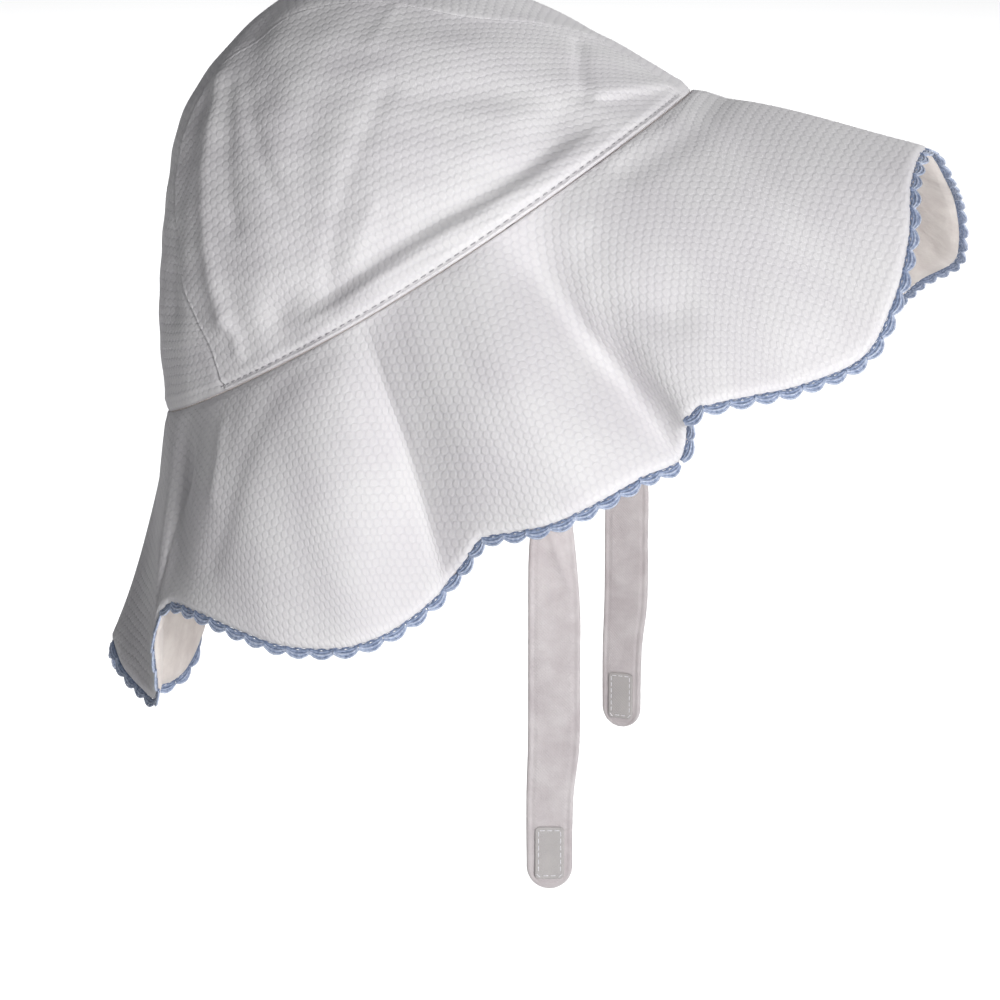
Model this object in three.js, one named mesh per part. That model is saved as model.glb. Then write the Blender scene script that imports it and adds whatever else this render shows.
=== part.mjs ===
// Child's soft sun hat of white cotton, worn tilted back, with a wide floppy brim,
// a scalloped crochet edging and an open chin strap. Millimetres and degrees, +Z up.
// The hat faces -Y, its wearer's right side is at -X. The origin is the middle of the
// head opening. A turn is counted round the head opening from the front, over the
// wearer's right side (90) and the back (180).
import * as THREE from 'three';

// Head opening and the way the hat sits
const OPENING_LENGTH = 175;
const TILT = 32;
const SIDE_DIP = 2;

// Cloth
const CROWN_WALL = 1.4;
const BRIM_WALL = 1.1;
const FACING_WALL = 1.0;
const SEAM_GAP = 0.35;
const LAYER_GAP = 0.3;
const STRIP_TURN = 10;
const CROWN_STEPS = 28;
const STRIP_ROWS = 6;
const PANEL_ROWS = 5;

// Fineness of the shape's sums: samples round the hem, halvings that find the crown's
// cloth, and the step that its slope is taken over
const HEM_SAMPLES = 3600;
const FAN_HALVINGS = 40;
const NORMAL_STEP = 0.5;

// Crochet edging
const TRIM_WIDTH = 3.6;
const TRIM_THICKNESS = 1.6;
const SCALLOP_COUNT = 130;
const SCALLOP_DEPTH = 1.9;
const TRIM_STEPS_PER_SCALLOP = 4;
const TRIM_STEPS_PER_BRIM_STEP = 5;

// Chin straps and their fastening pads
const STRAP_END_RADIUS = 6.2;
const STRAP_WALL = 1.8;
const PAD_LENGTH = 15;
const PAD_WIDTH = 8;
const PAD_THICKNESS = 1;
const PAD_TO_STRAP_END = 3;

// Distance of the crown's cloth from the middle of the head opening, along the
// front, back and side of the head, for a rise in degrees above the opening's plane
const CROWN_PROFILE = [
  { rise: 0, front: 86.5, back: 88.5, side: 74 },
  { rise: 8, front: 81.9, back: 84, side: 73.5 },
  { rise: 20, front: 77.7, back: 79.3, side: 73 },
  { rise: 32, front: 76.2, back: 76.8, side: 73.6 },
  { rise: 46, front: 77.3, back: 77.4, side: 75.2 },
  { rise: 60, front: 79.8, back: 80.8, side: 78.4 },
  { rise: 75, front: 82.6, back: 82, side: 81.6 },
  { rise: 90, front: 83.5, back: 83.5, side: 83.5 },
];

// How far the crown's strip reaches to each side of its middle line, by the angle from
// the front over the top
const STRIP_SHAPE = [
  { over: 0, right: 25, left: 41 },
  { over: 8, right: 20.5, left: 39 },
  { over: 16, right: 17, left: 37.5 },
  { over: 24, right: 20, left: 36.5 },
  { over: 32, right: 26, left: 36.5 },
  { over: 42, right: 33, left: 37 },
  { over: 53, right: 36, left: 37 },
  { over: 70, right: 32.5, left: 36.5 },
  { over: 90, right: 25, left: 36 },
  { over: 110, right: 19.5, left: 35.5 },
  { over: 130, right: 21.5, left: 36 },
  { over: 145, right: 30, left: 38.5 },
  { over: 155, right: 37, left: 41 },
  { over: 167, right: 45.5, left: 44 },
  { over: 180, right: 48.5, left: 47 },
];

// Soft dents in the crown, each along a line from one place to another
const CROWN_DENTS = [
  { turn: 36, rise: 11, toTurn: 112, toRise: 9, depth: 2.0, width: 6 },
  { turn: 146, rise: 20, toTurn: 128, toRise: 60, depth: 1.6, width: 6 },
  { turn: 104, rise: 76, toTurn: 98, toRise: 56, depth: 1.2, width: 7 },
  { turn: 100, rise: 14, toTurn: 86, toRise: 40, depth: 0.9, width: 8 },
  { turn: 248, rise: 10, toTurn: 322, toRise: 11, depth: 1.6, width: 7 },
];

// Where the brim's hem lies, a row for each lobe, fold or notch: how far to the
// wearer's right, to the front and up from the origin. The lift is how far the
// cloth's middle stands out from the straight line between head and hem.
const HEM_ROWS = [
  { turn: 0, right: 12, front: 142, up: 34, lift: 1 },
  { turn: 5, right: 34, front: 139, up: 28, lift: 2.5 },
  { turn: 9, right: 48, front: 139, up: 15, lift: 5 },
  { turn: 14, right: 60, front: 136, up: 0, lift: 6 },
  { turn: 21, right: 68, front: 129, up: -14, lift: 7 },
  { turn: 29, right: 78, front: 115, up: -20, lift: 6 },
  { turn: 39, right: 86, front: 102, up: -22, lift: 4 },
  { turn: 49, right: 91, front: 88, up: -25, lift: 1 },
  { turn: 56, right: 87, front: 84, up: -32, lift: -2 },
  { turn: 61, right: 84, front: 83, up: -40, lift: -2 },
  { turn: 66, right: 91, front: 75, up: -43, lift: 2 },
  { turn: 73, right: 100, front: 63, up: -49, lift: 5 },
  { turn: 80, right: 103, front: 52, up: -54, lift: 4 },
  { turn: 85, right: 101, front: 42, up: -57, lift: 3 },
  { turn: 89, right: 98, front: 33, up: -60, lift: 1 },
  { turn: 92, right: 95.5, front: 28, up: -67, lift: 0 },
  { turn: 95, right: 94, front: 23, up: -73, lift: -1.5 },
  { turn: 99, right: 96.5, front: 20, up: -77, lift: 1 },
  { turn: 104, right: 101, front: 14, up: -82, lift: 5 },
  { turn: 110, right: 105, front: 7, up: -86, lift: 7 },
  { turn: 118, right: 106.5, front: -3, up: -89, lift: 7 },
  { turn: 126, right: 104, front: -18, up: -90, lift: 7 },
  { turn: 134, right: 99, front: -32, up: -88, lift: 5 },
  { turn: 141, right: 90, front: -47, up: -86, lift: 1 },
  { turn: 147, right: 80, front: -59, up: -87, lift: -3 },
  { turn: 153, right: 76, front: -64, up: -97, lift: 0 },
  { turn: 160, right: 67, front: -66, up: -118, lift: 1 },
  { turn: 165, right: 58, front: -73, up: -119, lift: 0 },
  { turn: 170, right: 48, front: -82, up: -116, lift: -2 },
  { turn: 175, right: 39, front: -88, up: -111, lift: -3 },
  { turn: 181, right: 28, front: -90, up: -120, lift: -3 },
  { turn: 187, right: 19, front: -82, up: -130, lift: -2 },
  { turn: 193, right: 11, front: -75, up: -129, lift: 0 },
  { turn: 199, right: 2, front: -72, up: -121, lift: 0 },
  { turn: 207, right: -12, front: -74, up: -114, lift: 0 },
  { turn: 216, right: -34, front: -76, up: -108, lift: 1 },
  { turn: 226, right: -62, front: -66, up: -100, lift: 3 },
  { turn: 236, right: -88, front: -42, up: -92, lift: 5 },
  { turn: 246, right: -104, front: -14, up: -86, lift: 6 },
  { turn: 257, right: -104, front: 12, up: -76, lift: 4 },
  { turn: 268, right: -94, front: 32, up: -63, lift: 0 },
  { turn: 280, right: -102, front: 52, up: -53, lift: 4 },
  { turn: 293, right: -92, front: 74, up: -42, lift: 2 },
  { turn: 302, right: -87, front: 103, up: -33, lift: -1 },
  { turn: 311, right: -83, front: 119, up: -31, lift: 2 },
  { turn: 320, right: -75, front: 130, up: -25, lift: 4 },
  { turn: 328, right: -62, front: 138, up: -16, lift: 6 },
  { turn: 335, right: -48, front: 148, up: -8, lift: 7 },
  { turn: 341, right: -38, front: 150, up: 0, lift: 7 },
  { turn: 347, right: -24, front: 149, up: 14, lift: 3 },
  { turn: 354, right: -6, front: 147, up: 24, lift: 0.5 },
];
const BRIM_ROWS = [0, 0.06, 0.24, 0.46, 0.72, 1];

// Route of the right chin strap down from the head opening; face is the turn
// that its outer side looks to. The left strap mirrors it.
const STRAP_ROUTE = [
  { right: 60, front: 38, down: -20, face: 58, width: 14 },
  { right: 63.5, front: 38.5, down: -6, face: 62, width: 14 },
  { right: 67, front: 40, down: 12, face: 66, width: 13.5 },
  { right: 69.5, front: 42.5, down: 30, face: 66, width: 12 },
  { right: 71, front: 44.5, down: 44, face: 58, width: 10 },
  { right: 72, front: 45.5, down: 56, face: 66, width: 11 },
  { right: 72, front: 46, down: 70, face: 74, width: 13 },
  { right: 72, front: 46.5, down: 84, face: 78, width: 14 },
  { right: 72, front: 46.5, down: 98, face: 80, width: 14 },
  { right: 72, front: 46.5, down: 120, face: 80, width: 14 },
  { right: 72, front: 45.5, down: 136, face: 80, width: 12.8 },
  { right: 72, front: 45.5, down: 161.5, face: 80, width: 12.4 },
];
const STRAP_STEP = 9;
const STRAP_END_STEPS = 5;

const COLOURS = {
  cotton: 0xeae6ee,
  facing: 0xe6dfdb,
  edging: 0x93a9d8,
  strap: 0xe0d9dd,
  pad: 0xc9c8cc,
};

const radians = THREE.MathUtils.degToRad;
const upward = new THREE.Vector3(0, 0, 1);
const stripTurn = radians(STRIP_TURN);
const halfLength = OPENING_LENGTH / 2;

// Smooth value of a table's column at any place along its key column; a table
// that goes once round the head has a period of 360 degrees.
function tableValue(rows, key, place, column, period = 0) {
  const count = rows.length;
  const keyAt = (i) => {
    const lap = Math.floor(i / count);
    return rows[i - lap * count][key] + lap * period;
  };
  const valueAt = (i) => rows[i - Math.floor(i / count) * count][column];
  const clamp = (i) => (period ? i : Math.min(Math.max(i, 0), count - 1));
  let low = 0;
  while (low < count - 1 && keyAt(low + 1) <= place) low += 1;
  if (!period) low = Math.min(low, count - 2);
  const high = low + 1;
  const span = keyAt(high) - keyAt(low);
  const slope = (i) => {
    const before = clamp(i - 1);
    const after = clamp(i + 1);
    return (valueAt(after) - valueAt(before)) / (keyAt(after) - keyAt(before));
  };
  const share = (place - keyAt(low)) / span;
  const square = share * share;
  const cube = square * share;
  return (2 * cube - 3 * square + 1) * valueAt(low)
    + (cube - 2 * square + share) * span * slope(low)
    + (3 * square - 2 * cube) * valueAt(high)
    + (cube - square) * span * slope(high);
}

// A place in the untilted hat, turned back with the hat as it is worn
function worn(point) {
  const angle = radians(TILT);
  return new THREE.Vector3(
    point.x,
    point.y * Math.cos(angle) + point.z * Math.sin(angle),
    -point.y * Math.sin(angle) + point.z * Math.cos(angle),
  );
}

function direction(turn, rise) {
  const level = Math.cos(radians(rise));
  return new THREE.Vector3(
    -Math.sin(radians(turn)) * level,
    -Math.cos(radians(turn)) * level,
    Math.sin(radians(rise)),
  );
}

const dentLines = CROWN_DENTS.map((dent) => ({
  line: new THREE.Line3(
    direction(dent.turn, dent.rise).multiplyScalar(halfLength),
    direction(dent.toTurn, dent.toRise).multiplyScalar(halfLength),
  ),
  depth: dent.depth,
  width: dent.width,
}));

// Distance of the crown's cloth from the origin along a unit direction
function crownRadius(ray) {
  const rise = THREE.MathUtils.radToDeg(Math.asin(THREE.MathUtils.clamp(ray.z, -1, 1)));
  const level = Math.hypot(ray.x, ray.y) || 1;
  const along = ray.y / level;
  const across = ray.x / level;
  const lengthwise = tableValue(CROWN_PROFILE, 'rise', rise, along < 0 ? 'front' : 'back');
  const sideways = tableValue(CROWN_PROFILE, 'rise', rise, 'side');
  let radius = 1 / Math.hypot(along / lengthwise, across / sideways);
  const place = ray.clone().multiplyScalar(halfLength);
  const nearest = new THREE.Vector3();
  for (const { line, depth, width } of dentLines) {
    line.closestPointToPoint(place, true, nearest);
    radius -= depth * Math.exp(-((nearest.distanceTo(place) / width) ** 2));
  }
  return radius;
}

// The sides of the opening dip a little below its front and back; the dip fades
// towards the crown's top.
function dipAt(ray) {
  const level = Math.hypot(ray.x, ray.y) || 1;
  const turnCosine = ray.y / level;
  const fade = 1 - Math.max(ray.z, 0);
  return SIDE_DIP * (2 * turnCosine * turnCosine - 1) * fade * fade;
}

function crownNormal(ray) {
  const place = ray.clone().multiplyScalar(crownRadius(ray));
  const step = NORMAL_STEP;
  const level = (x, y, z) => {
    const moved = place.clone().add(new THREE.Vector3(x, y, z));
    return moved.length() - crownRadius(moved.clone().normalize());
  };
  return new THREE.Vector3(
    level(step, 0, 0) - level(-step, 0, 0),
    level(0, step, 0) - level(0, -step, 0),
    level(0, 0, step) - level(0, 0, -step),
  ).normalize();
}

function crownStation(ray) {
  const point = ray.clone().multiplyScalar(crownRadius(ray));
  point.z += dipAt(ray) + SEAM_GAP;
  return { point: worn(point), normal: worn(crownNormal(ray)) };
}

// Closed cloth wall over a grid of stations. The two offsets are measured along each
// station's normal; a ring joins its last column to its first. Columns that
// shrink to one place leave no flat triangles behind.
function wallGeometry(grid, inner, outer, ring = false) {
  const positions = [];
  const known = new Map();
  const triangles = [];
  const vertex = ({ point, normal }, offset) => {
    const place = point.clone().addScaledVector(normal, offset);
    const name = place.toArray().map((value) => Math.round(value * 1e4)).join();
    if (!known.has(name)) {
      known.set(name, positions.length / 3);
      positions.push(...place.toArray());
    }
    return known.get(name);
  };
  const outerIds = grid.map((column) => column.map((station) => vertex(station, outer)));
  const innerIds = grid.map((column) => column.map((station) => vertex(station, inner)));
  const triangle = (a, b, c) => {
    if (a !== b && b !== c && a !== c) triangles.push(a, b, c);
  };
  const quad = (a, b, c, d) => {
    triangle(a, b, c);
    triangle(a, c, d);
  };
  const columns = grid.length;
  const last = grid[0].length - 1;
  const steps = ring ? columns : columns - 1;
  for (let i = 0; i < steps; i += 1) {
    const next = (i + 1) % columns;
    for (let j = 0; j < last; j += 1) {
      quad(outerIds[i][j], outerIds[next][j], outerIds[next][j + 1], outerIds[i][j + 1]);
      quad(innerIds[i][j], innerIds[i][j + 1], innerIds[next][j + 1], innerIds[next][j]);
    }
    quad(outerIds[i][0], innerIds[i][0], innerIds[next][0], outerIds[next][0]);
    quad(outerIds[i][last], outerIds[next][last], innerIds[next][last], innerIds[i][last]);
  }
  if (!ring) {
    const end = columns - 1;
    for (let j = 0; j < last; j += 1) {
      quad(outerIds[0][j], outerIds[0][j + 1], innerIds[0][j + 1], innerIds[0][j]);
      quad(outerIds[end][j], innerIds[end][j], innerIds[end][j + 1], outerIds[end][j + 1]);
    }
  }
  const geometry = new THREE.BufferGeometry();
  geometry.setAttribute('position', new THREE.Float32BufferAttribute(positions, 3));
  geometry.setIndex(signedVolume(positions, triangles) < 0 ? triangles.reverse() : triangles);
  geometry.computeVertexNormals();
  return geometry;
}

function signedVolume(positions, triangles) {
  const corner = (id) => new THREE.Vector3().fromArray(positions, id * 3);
  let volume = 0;
  for (let i = 0; i < triangles.length; i += 3) {
    const [a, b, c] = [corner(triangles[i]), corner(triangles[i + 1]), corner(triangles[i + 2])];
    volume += a.dot(b.cross(c)) / 6;
  }
  return volume;
}

// Crown: a strip runs from the front over the top to the back, and a side panel
// fills the curved space on each side of it.
function stripReach(side, fan) {
  return tableValue(STRIP_SHAPE, 'over', fan, side > 0 ? 'right' : 'left');
}

function centreStrip() {
  const grid = [];
  for (let i = 0; i <= CROWN_STEPS; i += 1) {
    const fan = 180 * (i / CROWN_STEPS);
    const right = SEAM_GAP / 2 - stripReach(1, fan);
    const left = stripReach(-1, fan) - SEAM_GAP / 2;
    const column = [];
    for (let j = 0; j <= STRIP_ROWS; j += 1) {
      const x = right + (left - right) * (j / STRIP_ROWS);
      column.push(crownStation(fanRay(x, fan)));
    }
    grid.push(column);
  }
  return wallGeometry(grid, -CROWN_WALL / 2, CROWN_WALL / 2);
}

// Direction to the crown's cloth at a given distance from the strip's middle line, for
// an angle that goes from the front of the opening over the top to the back. The
// strip's middle line is turned a little from the wearer's own.
function fanRay(x, fan) {
  const angle = radians(fan);
  let low = 0;
  let high = OPENING_LENGTH;
  const ray = new THREE.Vector3();
  for (let i = 0; i < FAN_HALVINGS; i += 1) {
    const middle = (low + high) / 2;
    ray.set(x, -middle * Math.cos(angle), middle * Math.sin(angle));
    const length = ray.length();
    ray.normalize().applyAxisAngle(upward, stripTurn);
    if (length < crownRadius(ray)) low = middle;
    else high = middle;
  }
  return ray;
}

function turnOf(ray) {
  const turn = THREE.MathUtils.radToDeg(Math.atan2(-ray.x, -ray.y));
  return turn < 0 ? turn + 360 : turn;
}

function sidePanel(side) {
  const seamRay = (fan) => fanRay(-side * (stripReach(side, fan) + SEAM_GAP / 2), fan);
  const first = turnOf(seamRay(0));
  const last = turnOf(seamRay(180));
  const grid = [];
  for (let i = 0; i <= CROWN_STEPS; i += 1) {
    const share = i / CROWN_STEPS;
    const top = seamRay(180 * share);
    const rim = direction(first + (last - first) * share, 0);
    const column = [];
    for (let j = 0; j <= PANEL_ROWS; j += 1) {
      column.push(crownStation(rim.clone().lerp(top, j / PANEL_ROWS).normalize()));
    }
    grid.push(column);
  }
  return wallGeometry(grid, -CROWN_WALL / 2, CROWN_WALL / 2);
}

// Brim
function hemPoint(turn) {
  const value = (column) => tableValue(HEM_ROWS, 'turn', turn, column, 360);
  return new THREE.Vector3(-value('right'), -value('front'), value('up'));
}

function rimPoint(turn) {
  const ray = direction(turn, 0);
  return worn(ray.clone().multiplyScalar(crownRadius(ray)).setZ(dipAt(ray)));
}

// Point of the brim's cloth; share goes from the head opening (0) to the hem (1)
function brimPoint(turn, share) {
  const rim = rimPoint(turn);
  const hem = hemPoint(turn);
  const line = hem.clone().sub(rim);
  const tangent = rimPoint(turn + 1).sub(rimPoint(turn - 1));
  const outward = tangent.cross(line).normalize();
  const lift = tableValue(HEM_ROWS, 'turn', turn, 'lift', 360);
  return rim.addScaledVector(line, share).addScaledVector(outward, 4 * lift * share * (1 - share));
}

// Stations at even steps along the hem, so that every scallop has one width
function evenTurns(count) {
  const lengths = [0];
  let before = hemPoint(0);
  for (let i = 1; i <= HEM_SAMPLES; i += 1) {
    const point = hemPoint((360 * i) / HEM_SAMPLES);
    lengths.push(lengths[i - 1] + point.distanceTo(before));
    before = point;
  }
  const turns = [];
  let i = 0;
  for (let k = 0; k < count; k += 1) {
    const goal = (lengths[HEM_SAMPLES] * k) / count;
    while (lengths[i + 1] < goal) i += 1;
    const share = (goal - lengths[i]) / (lengths[i + 1] - lengths[i]);
    turns.push((360 * (i + share)) / HEM_SAMPLES);
  }
  return turns;
}

const trimSteps = SCALLOP_COUNT * TRIM_STEPS_PER_SCALLOP;
const brimSteps = Math.floor(trimSteps / TRIM_STEPS_PER_BRIM_STEP);
const brimTurns = evenTurns(brimSteps);

// Columns of the brim's middle surface with normals; the first row faces outward
// in the opening's plane, where the crown's lower edge meets it.
function brimGrid() {
  const points = brimTurns.map((turn) => {
    const length = hemPoint(turn).distanceTo(rimPoint(turn));
    const clothEnd = 1 - TRIM_WIDTH / length;
    return BRIM_ROWS.map((row) => brimPoint(turn, row * clothEnd));
  });
  const count = points.length;
  return points.map((column, i) => column.map((point, j) => {
    const next = points[(i + 1) % count];
    const last = points[(i + count - 1) % count];
    const across = next[j].clone().sub(last[j]);
    const down = column[Math.min(j + 1, column.length - 1)].clone().sub(column[Math.max(j - 1, 0)]);
    const normal = j === 0
      ? worn(direction(brimTurns[i], 0))
      : across.cross(down).normalize();
    return { point, normal };
  }));
}

const brimColumns = brimGrid();

// The crochet edging follows the brim's own straight steps, so it never cuts them.
function trimStation(step) {
  const place = (step / trimSteps) * brimSteps;
  const first = Math.floor(place) % brimSteps;
  const second = (first + 1) % brimSteps;
  const share = place - Math.floor(place);
  const blend = (pick) => pick(brimColumns[first]).clone().lerp(pick(brimColumns[second]), share);
  const hem = blend((column) => column.at(-1).point);
  const inside = blend((column) => column.at(-2).point);
  const normal = blend((column) => column.at(-1).normal).normalize();
  return { hem, outward: hem.clone().sub(inside).normalize(), normal };
}

function edgeTrim() {
  const grid = [];
  for (let step = 0; step < trimSteps; step += 1) {
    const { hem, outward, normal } = trimStation(step);
    const along = (step % TRIM_STEPS_PER_SCALLOP) / TRIM_STEPS_PER_SCALLOP;
    const reach = TRIM_WIDTH - SCALLOP_DEPTH * (1 - Math.sin(Math.PI * along));
    grid.push([
      { point: hem.clone().addScaledVector(outward, SEAM_GAP), normal },
      { point: hem.clone().addScaledVector(outward, reach), normal },
    ]);
  }
  return wallGeometry(grid, -TRIM_THICKNESS / 2, TRIM_THICKNESS / 2, true);
}

// Chin straps: side is 1 for the wearer's right and -1 for the left
function strapStation(side, down) {
  const value = (column) => tableValue(STRAP_ROUTE, 'down', down, column);
  const point = new THREE.Vector3(-side * value('right'), -value('front'), -down);
  const face = radians(value('face'));
  const normal = new THREE.Vector3(-side * Math.sin(face), -Math.cos(face), 0);
  return { point, normal, width: value('width') };
}

const strapTop = STRAP_ROUTE[0].down;
const strapEnd = STRAP_ROUTE.at(-1).down;

function chinStrap(side) {
  const roundStart = strapEnd - STRAP_END_RADIUS;
  const places = [];
  const steps = Math.round((roundStart - strapTop) / STRAP_STEP);
  for (let i = 0; i <= steps; i += 1) {
    places.push(strapTop + ((roundStart - strapTop) * i) / steps);
  }
  for (let i = 1; i <= STRAP_END_STEPS; i += 1) {
    const angle = (Math.PI / 2) * (i / STRAP_END_STEPS);
    places.push(roundStart + STRAP_END_RADIUS * Math.sin(angle));
  }
  const grid = places.map((down) => {
    const { point, normal, width } = strapStation(side, down);
    const sideways = upward.clone().cross(normal);
    const past = Math.max(down - roundStart, 0);
    const half = past > 0
      ? Math.sqrt(Math.max(STRAP_END_RADIUS ** 2 - past ** 2, 0))
      : width / 2;
    return [-1, 0, 1].map((share) => ({
      point: point.clone().addScaledVector(sideways, share * half),
      normal,
    }));
  });
  return wallGeometry(grid, -STRAP_WALL / 2, STRAP_WALL / 2);
}

// The right pad is on its strap's outer face, the left one on the inner face.
function strapPad(side) {
  const geometry = new THREE.BoxGeometry(PAD_WIDTH, PAD_THICKNESS, PAD_LENGTH);
  const down = strapEnd - PAD_TO_STRAP_END - PAD_LENGTH / 2;
  const { point, normal } = strapStation(side, down);
  const offset = side * (STRAP_WALL / 2 + LAYER_GAP + PAD_THICKNESS / 2);
  return { geometry, place: point.addScaledVector(normal, offset), normal };
}

function cloth(name, geometry, colour, roughness = 0.92) {
  const material = new THREE.MeshStandardMaterial({ color: colour, roughness, metalness: 0 });
  const mesh = new THREE.Mesh(geometry, material);
  mesh.name = name;
  return mesh;
}

const hat = new THREE.Group();
const layerOffset = LAYER_GAP / 2;
hat.add(cloth('crown_centre_strip', centreStrip(), COLOURS.cotton));
hat.add(cloth('crown_side_right', sidePanel(1), COLOURS.cotton));
hat.add(cloth('crown_side_left', sidePanel(-1), COLOURS.cotton));
hat.add(cloth(
  'brim',
  wallGeometry(brimColumns, layerOffset, layerOffset + BRIM_WALL, true),
  COLOURS.cotton,
));
hat.add(cloth(
  'under_brim',
  wallGeometry(brimColumns, -layerOffset - FACING_WALL, -layerOffset, true),
  COLOURS.facing,
));
hat.add(cloth('edge_trim', edgeTrim(), COLOURS.edging, 0.8));
for (const [side, word] of [[1, 'right'], [-1, 'left']]) {
  hat.add(cloth(`chin_strap_${word}`, chinStrap(side), COLOURS.strap));
  const { geometry, place, normal } = strapPad(side);
  const pad = cloth(`strap_pad_${word}`, geometry, COLOURS.pad, 0.75);
  pad.position.copy(place);
  pad.rotation.z = Math.atan2(normal.y, normal.x) + Math.PI / 2;
  hat.add(pad);
}

export default hat;
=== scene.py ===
"""Looks of a child's soft sun hat: white cotton with a honeycomb weave, worn tilted back.

Places are worked out in millimetres and degrees and become metres when a mesh is made.
The hat faces -Y, its wearer's right side is at -X and +Z is up. A turn is counted round
the head opening from the front (0) over the wearer's right side (90) to the back (180).
"""

import logging
import math
from collections.abc import Sequence
from dataclasses import dataclass, field
from enum import Enum
from typing import NamedTuple

import bmesh
import bpy
import numpy as np
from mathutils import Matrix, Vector


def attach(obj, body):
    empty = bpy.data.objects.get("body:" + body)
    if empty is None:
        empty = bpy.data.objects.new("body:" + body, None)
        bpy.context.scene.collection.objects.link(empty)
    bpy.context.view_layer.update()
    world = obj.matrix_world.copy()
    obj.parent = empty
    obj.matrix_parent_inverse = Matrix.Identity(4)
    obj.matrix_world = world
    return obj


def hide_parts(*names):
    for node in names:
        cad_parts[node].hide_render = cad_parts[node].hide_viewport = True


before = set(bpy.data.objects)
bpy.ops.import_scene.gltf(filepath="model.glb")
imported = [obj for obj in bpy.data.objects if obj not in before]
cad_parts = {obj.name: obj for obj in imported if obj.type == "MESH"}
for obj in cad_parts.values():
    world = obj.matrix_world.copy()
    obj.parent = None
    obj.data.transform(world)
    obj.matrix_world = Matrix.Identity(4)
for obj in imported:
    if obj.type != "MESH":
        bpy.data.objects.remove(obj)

LOG = logging.getLogger("sun_hat")
MM = 0.001
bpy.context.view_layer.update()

Array = np.ndarray
Place = tuple[float, float, float]
UP = np.array([0, 0, 1.0])

# Share of a sharp fold's length over which it fades at each end
END_FADE = 0.16


# Tables that give the hat its form


class CrownRow(NamedTuple):
    """Distance of the crown's cloth from the middle of the head opening at one rise."""

    rise: float
    front: float
    back: float
    side: float


class StripRow(NamedTuple):
    """How far the crown's strip reaches to each side, by the angle from the front over the top."""

    over: float
    right: float
    left: float


class HemRow(NamedTuple):
    """One place of the brim's hem, and how far the cloth between stands out."""

    turn: float
    right: float
    front: float
    up: float
    lift: float


class StrapRow(NamedTuple):
    """One place on the right chin strap's middle line, by its depth below the origin."""

    right: float
    front: float
    down: float
    face: float
    width: float


CROWN_PROFILE = (
    CrownRow(0, 86.5, 88.5, 74),
    CrownRow(8, 81.9, 84, 73.5),
    CrownRow(20, 77.7, 79.3, 73),
    CrownRow(32, 76.2, 76.8, 73.6),
    CrownRow(46, 77.3, 77.4, 75.2),
    CrownRow(60, 79.8, 80.8, 78.4),
    CrownRow(75, 82.6, 82, 81.6),
    CrownRow(90, 83.5, 83.5, 83.5),
)

STRIP_SHAPE = (
    StripRow(0, 25, 41),
    StripRow(8, 20.5, 39),
    StripRow(16, 17, 37.5),
    StripRow(24, 20, 36.5),
    StripRow(32, 26, 36.5),
    StripRow(42, 33, 37),
    StripRow(53, 36, 37),
    StripRow(70, 32.5, 36.5),
    StripRow(90, 25, 36),
    StripRow(110, 19.5, 35.5),
    StripRow(130, 21.5, 36),
    StripRow(145, 30, 38.5),
    StripRow(155, 37, 41),
    StripRow(167, 45.5, 44),
    StripRow(180, 48.5, 47),
)

HEM_ROWS = (
    HemRow(0, 12, 142, 34, 1),
    HemRow(5, 34, 139, 28, 2.5),
    HemRow(9, 48, 139, 15, 5),
    HemRow(14, 60, 136, 0, 6),
    HemRow(21, 68, 129, -14, 7),
    HemRow(29, 78, 115, -20, 6),
    HemRow(39, 86, 102, -22, 4),
    HemRow(49, 91, 88, -25, 1),
    HemRow(56, 87, 84, -32, -2),
    HemRow(61, 84, 83, -40, -2),
    HemRow(66, 91, 75, -43, 2),
    HemRow(73, 100, 63, -49, 5),
    HemRow(80, 103, 52, -54, 4),
    HemRow(85, 101, 42, -57, 3),
    HemRow(89, 98, 33, -60, 1),
    HemRow(92, 95.5, 28, -67, 0),
    HemRow(95, 94, 23, -73, -1.5),
    HemRow(99, 96.5, 20, -77, 1),
    HemRow(104, 101, 14, -82, 5),
    HemRow(110, 105, 7, -86, 7),
    HemRow(118, 106.5, -3, -89, 7),
    HemRow(126, 104, -18, -90, 7),
    HemRow(134, 99, -32, -88, 5),
    HemRow(141, 90, -47, -86, 1),
    HemRow(147, 80, -59, -87, -3),
    HemRow(153, 76, -64, -97, 0),
    HemRow(160, 67, -66, -118, 1),
    HemRow(165, 58, -73, -119, 0),
    HemRow(170, 48, -82, -116, -2),
    HemRow(175, 39, -88, -111, -3),
    HemRow(181, 28, -90, -120, -3),
    HemRow(187, 19, -82, -130, -2),
    HemRow(193, 11, -75, -129, 0),
    HemRow(199, 2, -72, -121, 0),
    HemRow(207, -12, -74, -114, 0),
    HemRow(216, -34, -76, -108, 1),
    HemRow(226, -62, -66, -100, 3),
    HemRow(236, -88, -42, -92, 5),
    HemRow(246, -104, -14, -86, 6),
    HemRow(257, -104, 12, -76, 4),
    HemRow(268, -94, 32, -63, 0),
    HemRow(280, -102, 52, -53, 4),
    HemRow(293, -92, 74, -42, 2),
    HemRow(302, -87, 103, -33, -1),
    HemRow(311, -83, 119, -31, 2),
    HemRow(320, -75, 130, -25, 4),
    HemRow(328, -62, 138, -16, 6),
    HemRow(335, -48, 148, -8, 7),
    HemRow(341, -38, 150, 0, 7),
    HemRow(347, -24, 149, 14, 3),
    HemRow(354, -6, 147, 24, 0.5),
)

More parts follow.
